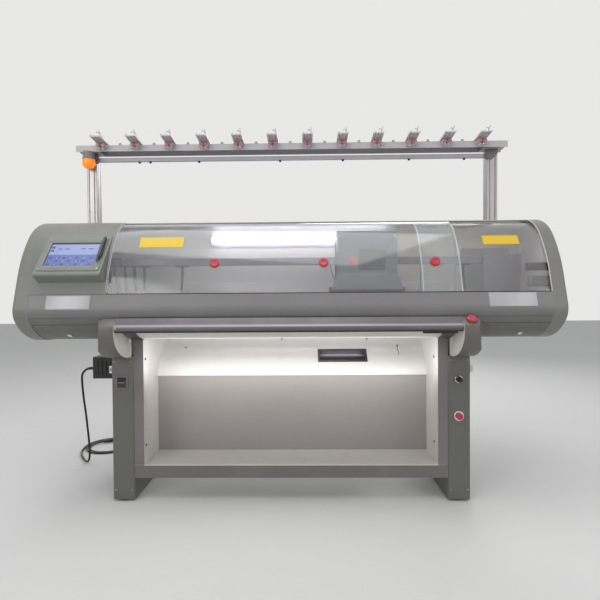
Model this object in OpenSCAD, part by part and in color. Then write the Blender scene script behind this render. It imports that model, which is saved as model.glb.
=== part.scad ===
// Computerised flat knitting machine with sliding clear covers, take-down rollers and a yarn stand.
// X runs along the needle beds to the right, the front faces -Y, and Z is up from the floor.
// The origin is on the floor, midway along the width and the depth.

/* [Overall] */
// Width over the two rounded end covers
machine_w = 2650; // [2630:10:2700]
// Depth from the front arms to the back of the yarn table
machine_d = 956; // [940:2:980]
// Height of the flat underside of the hood
hood_base_z = 838; // [820:2:860]

/* [Hood] */
// Height of the hood from its underside to its roof
hood_h = 617; // [610:1:640]
// Distance from the middle of the beds back to the rear of the hood
bed_to_back = 200; // [198:1:215]
// Distance that the front arms reach past the nose of the hood
arm_reach = 41; // [38:1:50]
// Sheet thickness of the hood covers
sheet_t = 3; // [2:0.5:3.5]
// Wall of the extruded front cover
front_t = 4; // [3.5:0.5:5]
// Height of the sill under the clear covers, above the underside of the hood
sill_h = 233; // [228:1:240]
// Lean of the flat front above the nose, in degrees
front_lean = 15; // [14:0.5:16]
// Length of the flat front above the nose
front_flat = 137; // [130:1:145]
// Radius of the long brow curve above the flat front
brow_r = 667; // [650:1:690]
// Lean at the top of the brow curve, in degrees
brow_lean = 35; // [34:0.5:36]
// Radius of the rounded nose
nose_r = 100; // [95:1:105]
// Height of the nose above the underside of the hood
nose_h = 154; // [150:1:158]
// Lean where the nose turns into the lower curve, in degrees
under_lean = 38; // [37:0.5:40]
// Length of each rounded end cover, which is also its corner radius
end_w = 75; // [70:1:80]
// Radius of the roof's back corner
back_r = 80; // [70:1:90]
// Length of the closed left head
head_w = 445; // [440:1:450]

/* [Clear covers] */
// Thickness of the clear sheet
clear_t = 4; // [3:0.5:4.5]
// Gap between a clear sheet and the walls of its groove
groove_gap = 0.5; // [0.4:0.1:0.8]
// Length of the long left cover
left_cover_l = 1712; // [1700:1:1720]
// Length of the short right cover
right_cover_l = 602; // [590:1:620]
// Diameter of the red cover knobs
cover_knob_d = 48; // [44:1:52]

/* [Needle beds and carriage] */
// Working length of each needle bed
bed_l = 1400; // [1380:10:1410]
// Slope of the beds, in degrees
bed_a = 45; // [44:0.5:46]
// Length of a bed down its slope
bed_slope_l = 176; // [170:1:178]
// Thickness of a bed
bed_t = 25; // [22:1:27]
// Gap between the two beds, where the fabric comes down
bed_gap = 8; // [7:0.5:10]
// Height of the top of the beds above the underside of the hood
bed_h = 224; // [222:1:228]
// Distance from the nose of the hood back to the middle of the beds
bed_setback = 297; // [295:1:299]
// Pitch of the needle grooves that are cut
groove_pitch = 20; // [15:1:30]
// Place of the carriage along the beds
carriage_x = 403; // [300:1:450]
// Length of the carriage's cam boxes
cam_box_l = 380; // [360:1:384]
// Length of the carriage's cover
carriage_l = 310; // [300:1:330]

/* [Stand] */
// Width of a leg
leg_w = 113; // [105:1:118]
// Distance from an end of the machine in to the outer face of its leg
leg_inset = 407; // [402:1:412]
// Depth of a leg
leg_d = 560; // [540:5:600]
// Height of the top of the legs
leg_top_z = 747; // [740:1:770]
// Height of the shelf
shelf_z = 189; // [150:1:250]
// Height of the skirt under the shelf
skirt_h = 67; // [50:1:80]
// Thickness of the leg plates
leg_t = 4; // [3:0.5:6]
// Height of the levelling feet
foot_h = 12; // [10:1:20]
// Height of the crease between the back panel and the chute
crease_z = 611; // [580:1:640]

/* [Yarn stand] */
// Height of the underside of the yarn beam
beam_z = 1896; // [1850:1:1950]
// Height of the yarn beam
beam_h = 36; // [30:1:45]
// Distance that the yarn beam reaches past the middle of a post
beam_over = 72; // [66:1:90]
// Width of a post
post_w = 60; // [56:1:64]
// Height of the yarn table
table_z = 1440; // [1380:1:1470]
// Number of tension units on the beam
tension_count = 12; // [8:1:12]
// Pitch of the tension units
tension_pitch = 197; // [190:1:200]

/* [Hidden] */
$fn = 48;

// Small distances that are used all over
seat_gap = 0.3;
shaft_gap = 0.05;

// Main places, front to back
front_y = -machine_d / 2;
back_y = machine_d / 2;
nose_y = front_y + arm_reach;
bed_y = nose_y + bed_setback;
hood_back_y = bed_y + bed_to_back;
leg_setback = 207;
leg_front_y = front_y + leg_setback;
leg_back_y = leg_front_y + leg_d;

// Main places, bottom to top
hood_top_z = hood_base_z + hood_h;
sill_z = hood_base_z + sill_h;
nose_z = hood_base_z + nose_h;
bed_z = hood_base_z + bed_h;

// Main places, left to right
end_x = machine_w / 2 - end_w;
head_x = -machine_w / 2 + head_w;
leg_out_x = machine_w / 2 - leg_inset;
leg_in_x = leg_out_x - leg_w;

// Steps along the curves of the hood
nose_steps = 4;
brow_steps = 7;
top_steps = 11;
under_steps = 6;
corner_steps = 5;
end_steps = 6;

// Points of an arc, without its first one
function arc(c, r, from, to, n) =
    [for (i = [1:n]) let (a = from + (to - from) * i / n) [c[0] + r * cos(a), c[1] + r * sin(a)]];

// Points of a rectangle with rounded corners
function round_box(x0, y0, x1, y1, r, n = 4) = concat(
    arc([x1 - r, y1 - r], r, 0, 90, n), [[x0 + r, y1]], arc([x0 + r, y1 - r], r, 90, 180, n), [[x0, y0 + r]],
    arc([x0 + r, y0 + r], r, 180, 270, n), [[x1 - r, y0]], arc([x1 - r, y0 + r], r, 270, 360, n), [[x1, y1 - r]]);

// Side profile of the hood, as [Y, Z], where d is the distance inside its outer surface
nose_c = [nose_y + nose_r, nose_z];
flat_dir = [sin(front_lean), cos(front_lean)];
flat_in = [cos(front_lean), -sin(front_lean)];
flat_start = nose_c + nose_r * [-cos(front_lean), sin(front_lean)];
flat_end = flat_start + front_flat * flat_dir;
brow_c = flat_end + brow_r * flat_in;
brow_end = brow_c + brow_r * [-cos(brow_lean), sin(brow_lean)];
top_r = (hood_top_z - brow_end[1]) / (1 - sin(brow_lean));
top_c = brow_end + top_r * [cos(brow_lean), -sin(brow_lean)];
under_start = nose_c + nose_r * [-cos(under_lean), -sin(under_lean)];
under_r = (under_start[1] - hood_base_z) / (1 - sin(under_lean));
under_c = under_start + under_r * [cos(under_lean), sin(under_lean)];

function flat_point(s, d) = flat_start + s * flat_dir + d * flat_in;
function brow_arc(d) = arc(brow_c, brow_r - d, 180 - front_lean, 180 - brow_lean, brow_steps);
function top_arc(d, lean) = arc(top_c, top_r - d, 180 - brow_lean, 180 - lean, top_steps);
function top_point(d, lean) = top_c + (top_r - d) * [-cos(lean), sin(lean)];
function under_arc(d) = arc(under_c, under_r - d, 270, 180 + under_lean, under_steps);
function nose_arc(d) = arc(nose_c, nose_r - d, 180 + under_lean, 180 - front_lean, 2 * nose_steps);
function back_arc(d, r) = arc([hood_back_y - d - r, hood_top_z - d - r], r, 90, 0, corner_steps);
function back_radius(d) = max(back_r - d, 1);

// From the flat front, s above its start, over the brow and the top to a given lean
function front_line(d, s, lean) =
    concat([flat_point(s, d), flat_end + d * flat_in], brow_arc(d), top_arc(d, lean));
function under_line(d) = concat([[under_c[0], hood_base_z + d]], under_arc(d), nose_arc(d));
function hood_outline(d) = concat([[hood_back_y - d, hood_base_z + d]], under_line(d),
    [flat_end + d * flat_in], brow_arc(d), top_arc(d, 90),
    [[hood_back_y - d - back_radius(d), hood_top_z - d]], back_arc(d, back_radius(d)));
function reversed(points) = [for (i = [len(points) - 1:-1:0]) points[i]];

// Height on the flat front turned into a distance along it
function flat_s(z) = (z - flat_start[1]) / cos(front_lean);

// A profile drawn as [Y, Z] and run along X
module along_x(x0, x1) {
    translate([x0, 0, 0])
        rotate([90, 0, 90])
            linear_extrude(height = x1 - x0)
                children();
}

// A box given by its corners
module block(low, high) {
    translate(low)
        cube(high - low);
}

// A copy on each side of the machine
module both_sides() {
    children();
    mirror([1, 0, 0])
        children();
}

// A cylinder along X between two places
module rod_x(x0, x1, y, z, r) {
    translate([x0, y, z])
        rotate([0, 90, 0])
            cylinder(h = x1 - x0, r = r);
}

// A cylinder along Y between two places
module rod_y(y0, y1, x, z, r) {
    translate([x, y0, z])
        rotate([-90, 0, 0])
            cylinder(h = y1 - y0, r = r);
}

// The solid of the hood between two places, grown outwards by a clearance
module hood_body(x0, x1, clearance) {
    along_x(x0, x1)
        polygon(hood_outline(-clearance));
}

// Stand
shelf_front_y = leg_front_y + 1;
wall_t = 2.5;
column_w = 48;
column_d = 40;
wall_in_x = leg_in_x - column_w - 2;
back_panel_y = leg_front_y + 229;
chute_run = 161;
chute_top_z = hood_base_z - 2;
chute_steps = 14;
chute_t = 4;
crease_lip = 4;
foot_inset = 60;
foot_r = 40;
foot_pad_h = 8;
button_x = leg_out_x - 58;
button_z = 439;
knob_z = 627;
button_stem_r = 11;
knob_stem_r = 8;
switch_x = -(leg_out_x - 52);
switch_z = 617;
switch_w = 55;
switch_h = 62;
hook_z = 681;
hook_y = leg_front_y + 14;

module leg_box(cuts) {
    floor_t = 2 * leg_t;
    difference() {
        translate([0, 0, foot_h])
            linear_extrude(height = leg_top_z - foot_h)
                polygon(round_box(leg_in_x, leg_front_y, leg_out_x, leg_back_y, 2 * leg_t));
        translate([0, 0, foot_h + floor_t])
            linear_extrude(height = leg_top_z - foot_h - floor_t - leg_t)
                polygon(round_box(leg_in_x + leg_t, leg_front_y + leg_t, leg_out_x - leg_t,
                    leg_back_y - leg_t, leg_t));
        if (cuts)
            leg_holes();
    }
}

module leg_holes() {
    rod_y(leg_front_y - 1, leg_front_y + leg_t + 1, button_x, button_z, button_stem_r);
    rod_y(leg_front_y - 1, leg_front_y + leg_t + 1, button_x, knob_z, knob_stem_r);
}

module left_leg() {
    color("gainsboro")
        difference() {
            mirror([1, 0, 0])
                leg_box(false);
            block([switch_x - switch_w / 2, leg_front_y - 1, switch_z - switch_h / 2],
                [switch_x + switch_w / 2, leg_front_y + leg_t + 1, switch_z + switch_h / 2]);
        }
}

module right_leg() {
    color("gainsboro")
        leg_box(true);
}

// Curved arm on top of a leg, whose front carries the operating bar
arm_in_x = leg_in_x + 13;
arm_out_x = leg_out_x - 5;
arm_corner = [27, 48];
arm_nose_h = 51;
arm_lip_h = 30;
arm_join_h = 118;
arm_clear = 0.5;
arm_nose_z = hood_base_z + arm_nose_h;
arm_lip_z = arm_nose_z + arm_lip_h;
arm_join = [nose_y + 9, hood_base_z + arm_join_h];
arm_belly_y = leg_front_y - front_y;
arm_belly_z = arm_nose_z - leg_top_z;
belly_steps = 14;
pad_h = 12;
pad_top_z = hood_base_z + pad_h;
under_end_y = nose_y + 237;
pad_front_y = under_end_y + 5;
pad_back_y = hood_back_y - 15;
bar_axis = [front_y + 20, arm_nose_z + 14];
bar_pin_r = 6;
bar_pin_l = 8;

function arm_outline() = concat(
    [[leg_back_y, leg_top_z]],
    [for (i = [0:belly_steps]) let (a = 90 * i / belly_steps)
        [leg_front_y - arm_belly_y * sin(a), arm_nose_z - arm_belly_z * cos(a)]],
    [[front_y, arm_lip_z], arm_join, [bed_y, arm_join[1]], [bed_y, hood_base_z], [leg_back_y, hood_base_z]]);

module arm_solid() {
    difference() {
        along_x(arm_in_x, arm_out_x)
            polygon(arm_outline());
        hood_body(arm_in_x - 1, arm_out_x + 1, arm_clear);
        linear_extrude(height = hood_top_z)
            polygon([[arm_out_x - arm_corner[0], front_y], [arm_out_x - arm_corner[0], front_y - 1],
                [arm_out_x + 1, front_y - 1], [arm_out_x + 1, front_y + arm_corner[1]],
                [arm_out_x, front_y + arm_corner[1]]]);
        rod_x(arm_in_x - 1, arm_in_x + bar_pin_l + 2, bar_axis[0], bar_axis[1], bar_pin_r + shaft_gap);
    }
    block([arm_in_x, pad_front_y, hood_base_z - 1], [arm_out_x, pad_back_y, pad_top_z]);
}

module left_arm() {
    color("gainsboro")
        mirror([1, 0, 0])
            arm_solid();
}

// Place and tilt of the stop button on the right arm's sloping top
slope_dir = (arm_join - [front_y, arm_lip_z]) / norm(arm_join - [front_y, arm_lip_z]);
stop_tilt = atan2(-slope_dir[1], slope_dir[0]) + 90;
stop_x = leg_out_x - 59;
stop_base = [front_y, arm_lip_z] + 0.55 * (arm_join - [front_y, arm_lip_z]);
stop_stem_r = 8;
stop_head_r = 24;
stop_travel = 4;

module at_stop_button() {
    translate([stop_x, stop_base[0], stop_base[1]])
        rotate([atan2(slope_dir[1], slope_dir[0]), 0, 0])
            children();
}

module right_arm() {
    color("gainsboro")
        difference() {
            arm_solid();
            at_stop_button()
                translate([0, 0, -24])
                    cylinder(h = 30, r = stop_stem_r);
        }
}

module stop_button() {
    color("red")
        at_stop_button() {
            translate([0, 0, -16])
                cylinder(h = 16 + stop_travel + 1, r = stop_stem_r - shaft_gap);
            translate([0, 0, stop_travel + 0.6])
                cylinder(h = 8, r1 = stop_head_r, r2 = stop_head_r - 1);
            translate([0, 0, stop_travel + 8.6])
                cylinder(h = 4, r1 = stop_head_r - 1, r2 = stop_head_r - 6);
        }
}

module foot() {
    cylinder(h = foot_pad_h, r1 = foot_r, r2 = foot_r - 4);
    translate([0, 0, foot_pad_h - 1])
        cylinder(h = foot_h - foot_pad_h + 1, r = 12);
}

module levelling_feet() {
    color("dimgray")
        both_sides()
            for (y = [leg_front_y + foot_inset, leg_back_y - foot_inset])
                translate([leg_in_x + leg_w / 2, y, 0])
                    foot();
}

module shelf_tray() {
    color("white")
        along_x(-leg_in_x, leg_in_x)
            polygon([[shelf_front_y, shelf_z], [shelf_front_y, shelf_z - skirt_h],
                [shelf_front_y + 20, shelf_z - skirt_h], [shelf_front_y + 20, shelf_z - skirt_h + wall_t],
                [shelf_front_y + wall_t, shelf_z - skirt_h + wall_t], [shelf_front_y + wall_t, shelf_z - wall_t],
                [back_panel_y + 20, shelf_z - wall_t], [back_panel_y + 20, shelf_z]]);
}

// One folded sheet on each side: the inner column at the front and the wall behind it
module side_wall() {
    wall_back_y = back_panel_y + chute_run + 10;
    front = shelf_front_y + 3;
    translate([0, 0, shelf_z])
        linear_extrude(height = chute_top_z - shelf_z)
            polygon([[leg_in_x, front], [wall_in_x, front], [wall_in_x, wall_back_y],
                [wall_in_x + wall_t, wall_back_y], [wall_in_x + wall_t, front + wall_t],
                [leg_in_x - wall_t, front + wall_t], [leg_in_x - wall_t, front + column_d],
                [leg_in_x, front + column_d]]);
}

module side_walls() {
    color("white")
        both_sides()
            side_wall();
}

module back_panel() {
    color("white")
        block([-wall_in_x, back_panel_y, shelf_z], [wall_in_x, back_panel_y + wall_t, crease_z]);
}

// The chute leans back from the crease and rises to the rollers in one smooth bend
function chute_y(t) = back_panel_y - 6 + chute_run * t * t * (3 - 2 * t);
function chute_z(t) = crease_z + (chute_top_z - crease_z) * t;
slot_low = [156, 688];
slot_high = [426, 738];

module chute_panel() {
    front = [for (i = [1:chute_steps]) [chute_y(i / chute_steps), chute_z(i / chute_steps)]];
    back = [for (p = reversed(front)) [p[0] + chute_t, p[1]]];
    lip = chute_y(0) - crease_lip;
    heel = back_panel_y + chute_t;
    color("white")
        difference() {
            along_x(-wall_in_x, wall_in_x)
                polygon(concat([[lip, crease_z], [lip, crease_z + wall_t]], front, back,
                    [[heel, crease_z + wall_t], [heel, crease_z]]));
            block([slot_low[0], back_panel_y - 60, slot_low[1]],
                [slot_high[0], back_panel_y + chute_run + 60, slot_high[1]]);
        }
}

// Cabinet for the electronics, behind the back panel
control_w = 900;
control_d = 150;
control_low_z = 215;
control_high_z = 575;
control_vent_x = [-330, -270, -210, -150, -90];
control_vent_l = 44;
control_vent_pitch = 22;

module control_box() {
    front = back_panel_y + wall_t;
    color("darkgray") {
        difference() {
            block([-control_w / 2, front, control_low_z], [control_w / 2, front + control_d, control_high_z]);
            for (x = control_vent_x, z = [control_low_z + 40:control_vent_pitch:control_low_z + 150])
                block([x, front + control_d - 4, z], [x + control_vent_l, front + control_d + 1, z + 8]);
        }
        block([control_w / 2 - 60, front + control_d, control_low_z + 150],
            [control_w / 2 - 44, front + control_d + 14, control_low_z + 230]);
    }
}

// Points on a bed, s down its slope and h above its face, on the side -1 or 1
function bed_point(side, s, h) = [
    bed_y + side * (bed_gap / 2 + s * cos(bed_a) + h * sin(bed_a)), bed_z - s * sin(bed_a) + h * cos(bed_a)];

base_over = 92;
base_l = 2 * (leg_out_x + base_over);
base_low_z = pad_top_z;
base_foot_w = 30;
base_back = bed_gap / 2 + 126;
beam_t = 35;
web_x = arm_in_x - 98;
web_t = 16;
roller_r = 28;
roller_gap = 0.4;
roller_z = bed_z - 182;
roller_u = roller_r + roller_gap / 2;
roller_shaft_r = 10;
bearing_r = 24;

// One side of the cast base: a sloping beam under the bed with a foot at its low edge
function base_side(side) = [
    bed_point(side, bed_t * tan(bed_a), -bed_t),
    [bed_y + side * base_back, bed_point(side, 0, -bed_t)[1] - (base_back - bed_point(1, 0, -bed_t)[0] + bed_y)
        * tan(bed_a)],
    [bed_y + side * base_back, base_low_z],
    [bed_y + side * (base_back - base_foot_w), base_low_z],
    [bed_y + side * (base_back - base_foot_w), bed_point(side, 0, -bed_t)[1] - beam_t / cos(bed_a)
        - (base_back - base_foot_w - bed_point(1, 0, -bed_t)[0] + bed_y) * tan(bed_a)],
    [bed_y + side * bed_gap / 2, bed_point(side, bed_t * tan(bed_a), -bed_t)[1] - beam_t / cos(bed_a)]];

module base_web(x0, x1, low_z) {
    along_x(x0, x1)
        intersection() {
            polygon([base_side(-1)[0], base_side(-1)[1], [bed_y - base_back, low_z], [bed_y + base_back, low_z],
                base_side(1)[1], base_side(1)[0]]);
            translate([bed_y - base_back - 1, low_z])
                square([2 * base_back + 2, bed_z - low_z]);
        }
}

module bed_base() {
    saddle_in_x = arm_in_x + 10;
    saddle_out_x = arm_out_x - 5;
    color("slategray")
        difference() {
            union() {
                for (side = [-1, 1])
                    along_x(-base_l / 2, base_l / 2)
                        polygon(base_side(side));
                both_sides() {
                    base_web(base_l / 2 - web_t, base_l / 2, base_low_z);
                    base_web(web_x, web_x + web_t, base_low_z);
                    block([saddle_in_x, bed_y - base_back, base_low_z],
                        [saddle_out_x, bed_y + base_back, base_low_z + 18]);
                }
            }
            for (side = [-1, 1])
                rod_x(-web_x - web_t - 1, web_x + web_t + 1, bed_y + side * roller_u, roller_z, bearing_r);
        }
}

module bearing(x, side) {
    difference() {
        rod_x(x, x + web_t, bed_y + side * roller_u, roller_z, bearing_r - 0.02);
        rod_x(x - 1, x + web_t + 1, bed_y + side * roller_u, roller_z, roller_shaft_r + shaft_gap);
    }
}

module roller_bearings() {
    color("silver")
        for (side = [-1, 1], x = [-web_x - web_t, web_x])
            bearing(x, side);
}

roller_end_gap = 20;
roller_l = 2 * (web_x - roller_end_gap);
motor_x = web_x + web_t;
motor_r = 29;
motor_l = 80;

module roller(side, right_x) {
    rod_x(-roller_l / 2, roller_l / 2, bed_y + side * roller_u, roller_z, roller_r);
    rod_x(-web_x - web_t - 4, right_x, bed_y + side * roller_u, roller_z, roller_shaft_r);
}

module takedown_roller() {
    color("dimgray")
        roller(-1, motor_x + 20);
}

module pinch_roller() {
    color("dimgray")
        roller(1, web_x + web_t + 4);
}

// End frames carry the carriage drive, the feeder rails and the hood's ends
frame_in_x = leg_out_x + 7;
frame_t = pad_h;
pulley_x = end_x - 60;
pulley_r = 36;
pulley_w = 20;
pulley_z = hood_base_z + 62;
pulley_y = bed_y + 154;
belt_t = 3;
axle_r = 8;
post_x = end_x - 82;
wall_low_z = hood_base_z + frame_t;
frame_back_y = hood_back_y - sheet_t;
frame_wall_inset = 60;
frame_wall_t = 10;
frame_top_z = bed_z + 260;
ledge_half = 40;
ledge_d = 60;
ledge_t = 8;
ledge_z = bed_z + 40;
idler_half = 30;
servo_half = 36;

module end_frame() {
    block([frame_in_x, under_end_y, hood_base_z], [end_x, frame_back_y, wall_low_z]);
    block([frame_in_x + frame_wall_inset, frame_back_y - frame_wall_t, wall_low_z - 1],
        [end_x, frame_back_y, frame_top_z]);
    block([pulley_x - ledge_half, frame_back_y - ledge_d, ledge_z],
        [pulley_x + ledge_half, frame_back_y - frame_wall_t + 1, ledge_z + ledge_t]);
}

module end_frames() {
    color("slategray") {
        both_sides()
            end_frame();
        difference() {
            block([pulley_x - idler_half, pulley_y - ledge_d - 4, wall_low_z - 1],
                [pulley_x + idler_half, pulley_y - 4, pulley_z + idler_half]);
            rod_y(pulley_y - ledge_d - 14, pulley_y, pulley_x, pulley_z, axle_r + shaft_gap);
        }
        block([-pulley_x - servo_half, bed_y + 20, wall_low_z - 1],
            [-pulley_x + servo_half, pulley_y - 16, pulley_z - 40]);
    }
}

module pulley_rim() {
    rod_y(pulley_y, pulley_y + pulley_w, 0, pulley_z, pulley_r - seat_gap);
}

module drive_pulley() {
    color("silver")
        difference() {
            translate([-pulley_x, 0, 0])
                pulley_rim();
            rod_y(pulley_y - 1, pulley_y + pulley_w - 4, -pulley_x, pulley_z, axle_r + shaft_gap);
            for (a = [0:60:300])
                translate([-pulley_x, 0, pulley_z])
                    rotate([0, a, 0])
                        rod_y(pulley_y - 1, pulley_y + pulley_w + 1, 22, 0, 6);
        }
}

module idler_pulley() {
    color("silver")
        difference() {
            union() {
                translate([pulley_x, 0, 0])
                    pulley_rim();
                rod_y(pulley_y - ledge_d - 2, pulley_y + 1, pulley_x, pulley_z, axle_r);
            }
            for (a = [0:60:300])
                translate([pulley_x, 0, pulley_z])
                    rotate([0, a, 0])
                        rod_y(pulley_y - 1, pulley_y + pulley_w + 1, 22, 0, 6);
        }
}

// One end of the belt, wrapped half way round its pulley
module belt_wrap() {
    outer = pulley_r + belt_t;
    difference() {
        rod_y(pulley_y, pulley_y + pulley_w, pulley_x, pulley_z, outer);
        rod_y(pulley_y - 1, pulley_y + pulley_w + 1, pulley_x, pulley_z, pulley_r);
        block([pulley_x - outer - 1, pulley_y - 1, pulley_z - outer - 1],
            [pulley_x, pulley_y + pulley_w + 1, pulley_z + outer + 1]);
    }
}

module drive_belt() {
    color("black") {
        both_sides()
            belt_wrap();
        for (z = [pulley_z - pulley_r - belt_t, pulley_z + pulley_r])
            block([-pulley_x, pulley_y, z], [pulley_x, pulley_y + pulley_w, z + belt_t]);
    }
}

module gear_motors() {
    shaft_end = pulley_y + pulley_w - 5;
    color("dimgray") {
        difference() {
            rod_x(motor_x, motor_x + motor_l, bed_y - roller_u, roller_z, motor_r);
            rod_x(motor_x - 1, motor_x + 26, bed_y - roller_u, roller_z, roller_shaft_r + shaft_gap);
        }
        block([-pulley_x - servo_half, bed_y + 22, pulley_z - 40],
            [-pulley_x + servo_half, pulley_y - 18, pulley_z + 40]);
        rod_y(bed_y - 40, bed_y + 23, -pulley_x, pulley_z, 34);
        rod_y(pulley_y - 19, shaft_end, -pulley_x, pulley_z, axle_r);
    }
}

// A bed is a plate with needle grooves across it
module bed_plate() {
    count = floor(bed_l / groove_pitch) - 1;
    first = -(count - 1) * groove_pitch / 2;
    grooves = [for (i = [0:count - 1], p = [[-2, 0], [-2, -4], [2, -4], [2, 0]])
        [first + i * groove_pitch + p[0], p[1]]];
    intersection() {
        translate([0, bed_gap / 2, 0])
            rotate([90 - bed_a, 0, 0])
                translate([0, 0, -bed_slope_l])
                    linear_extrude(height = bed_slope_l)
                        polygon(concat([[bed_l / 2, 0], [bed_l / 2, -bed_t], [-bed_l / 2, -bed_t],
                            [-bed_l / 2, 0]], grooves));
        block([-bed_l, bed_gap / 2, -bed_l], [bed_l, bed_l, 1]);
    }
}

module front_needle_bed() {
    color("lightsteelblue")
        translate([0, bed_y, bed_z])
            mirror([0, 1, 0])
                bed_plate();
}

module rear_needle_bed() {
    color("lightsteelblue")
        translate([0, bed_y, bed_z])
            bed_plate();
}

// Front cover with its sill, nose and grooved underside
groove_w = 4;
groove_d = 2;

module ring_cut(c, r, lean) {
    half = groove_w / 2 / r * 180 / PI;
    polygon(concat([c + (r + 1) * [-cos(lean - half), -sin(lean - half)]],
        [c + (r + 1) * [-cos(lean + half), -sin(lean + half)]],
        [c + (r - groove_d) * [-cos(lean + half), -sin(lean + half)]],
        [c + (r - groove_d) * [-cos(lean - half), -sin(lean - half)]]));
}

module front_cover() {
    sill_s = flat_s(sill_z) + 2;
    color("darkgray")
        difference() {
            along_x(-end_x, end_x)
                polygon(concat([[under_end_y, hood_base_z]], under_line(0), [flat_point(sill_s, 0)],
                    [flat_point(sill_s, front_t)], reversed(under_line(front_t)),
                    [[under_end_y, hood_base_z + front_t]]));
            block([-end_x - 1, nose_y - 1, sill_z], [end_x + 1, hood_back_y, hood_top_z]);
            along_x(-end_x - 1, end_x + 1) {
                ring_cut(nose_c, nose_r, 21);
                ring_cut(nose_c, nose_r, under_lean - 4);
            }
        }
}

// Roof and back in one folded sheet, with rows of vents
roof_lean = 78;
vent_x = [-600, 500];
vent_count = 6;
vent_pitch = 70;
vent_l = 54;
vent_w = 8;

module rear_cover() {
    x0 = head_x + 1;
    outer = concat([top_point(0, roof_lean)], arc(top_c, top_r, 180 - roof_lean, 90, 3),
        [[hood_back_y - back_r, hood_top_z]], back_arc(0, back_r), [[hood_back_y, hood_base_z]]);
    inner = concat([top_point(sheet_t, roof_lean)], arc(top_c, top_r - sheet_t, 180 - roof_lean, 90, 3),
        [[hood_back_y - back_r, hood_top_z - sheet_t]], back_arc(sheet_t, back_r - sheet_t),
        [[hood_back_y - sheet_t, hood_base_z]]);
    color("white")
        difference() {
            along_x(x0, end_x)
                polygon(concat(outer, reversed(inner)));
            for (x = vent_x, i = [0:vent_count - 1], z = [bed_z - 60:3 * vent_w:bed_z + 60])
                block([x + i * vent_pitch, hood_back_y - sheet_t - 1, z],
                    [x + i * vent_pitch + vent_l, hood_back_y + 1, z + vent_w]);
        }
}

// A solid that closes the hood's outline at the left end with a quarter-round corner of radius r
module rounded_end(r, inner_x) {
    angles = [for (i = [0:end_steps]) 90 * i / end_steps];
    xs = concat([for (a = angles) -end_x - r * cos(a)], [inner_x]);
    ds = concat([for (a = angles) end_w - r * sin(a)], [end_w - r]);
    n = len(hood_outline(0));
    points = [for (i = [0:len(xs) - 1], p = hood_outline(ds[i])) [xs[i], p[0], p[1]]];
    sides = [for (i = [0:len(xs) - 2], j = [0:n - 1])
        [i * n + j, i * n + (j + 1) % n, (i + 1) * n + (j + 1) % n, (i + 1) * n + j]];
    last = (len(xs) - 1) * n;
    polyhedron(points, concat(sides, [[for (j = [n - 1:-1:0]) j]], [[for (j = [0:n - 1]) last + j]]));
}

module left_head_cover() {
    color("lightgray")
        difference() {
            rounded_end(end_w, head_x);
            rounded_end(end_w - sheet_t, head_x + 1);
            block([-end_x, nose_y - 1, hood_base_z - 1], [head_x + 1, hood_back_y - sheet_t, sill_z]);
        }
}

module right_end_cover() {
    color("lightgray")
        mirror([1, 0, 0])
            difference() {
                rounded_end(end_w, -end_x);
                rounded_end(end_w - sheet_t, -end_x + 1);
            }
}

// Screen housing on the left head
screen_x = head_x - 170;
housing_w = 322;
housing_foot = [front_y + 22, sill_z + 99];
housing_top = [nose_y + 141, sill_z + 303];
housing_lip_h = 9;
housing_root = [nose_y + 40, sill_z + 52];
glass_w = 266;
glass_h = 166;
glass_t = 4;
glass_up = 34;
housing_reach = 200;
screen_lean = atan2(housing_top[0] - housing_foot[0], housing_top[1] - housing_foot[1]);

module on_screen_face() {
    translate([screen_x, housing_foot[0], housing_foot[1]])
        rotate([-screen_lean, 0, 0])
            children();
}

module screen_housing() {
    color("lightgray")
        difference() {
            intersection() {
                along_x(screen_x - housing_w / 2, screen_x + housing_w / 2)
                    polygon([[housing_foot[0], housing_foot[1] - housing_lip_h], housing_foot, housing_top,
                        housing_top + [30, 0], [housing_top[0] + 30, housing_root[1]], housing_root]);
                translate([screen_x, nose_y + housing_reach, 0])
                    rotate([90, 0, 0])
                        linear_extrude(height = 2 * housing_reach)
                            polygon(round_box(-housing_w / 2, housing_root[1] - 1, housing_w / 2,
                                housing_top[1], 14));
            }
            hood_body(screen_x - housing_w, screen_x + housing_w, 0.2);
            on_screen_face()
                block([-glass_w / 2 - 0.5, -1, glass_up - 0.5],
                    [glass_w / 2 + 0.5, glass_t, glass_up + glass_h + 0.5]);
        }
}

module touch_screen() {
    color("black")
        on_screen_face()
            block([-glass_w / 2, 0.5, glass_up], [glass_w / 2, glass_t, glass_up + glass_h]);
}

// Clear covers run in two grooves, the left cover in the outer one and the right cover in the inner one
outer_d = front_t + 2;
inner_d = outer_d + clear_t + 4;
track_in_d = inner_d + clear_t + groove_gap + 2.5;
track_s = flat_s(sill_z) - 25;
cover_s = track_s + 7;
cover_lean = 84;
cover_fit = 2;

module cover_band(x0, x1, d, lean) {
    along_x(x0, x1)
        polygon(concat(front_line(d, cover_s, lean), reversed(front_line(d + clear_t, cover_s, lean))));
}

// A raised strip at an end of a clear cover
module cover_strip(x0, x1, d, t) {
    s = flat_s(sill_z) + 6;
    along_x(x0, x1)
        polygon(concat(front_line(d, s, 74), reversed(front_line(d + t, s, 74))));
}

function lower_groove(d) = [flat_point(track_s + 6, d - groove_gap), flat_point(track_s + 60, d - groove_gap),
    flat_point(track_s + 60, d + clear_t + groove_gap), flat_point(track_s + 6, d + clear_t + groove_gap)];
function upper_groove(d) = concat(
    [for (lean = [68:3:83]) top_point(d - groove_gap, lean)], [top_point(d - groove_gap, 85)],
    [top_point(d + clear_t + groove_gap, 85)],
    [for (lean = [83:-3:68]) top_point(d + clear_t + groove_gap, lean)]);
function upper_track() = concat(
    [for (lean = [79:2:89]) top_point(sheet_t + seat_gap, lean)],
    [for (lean = [89:-2:79]) top_point(track_in_d, lean)]);

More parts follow.
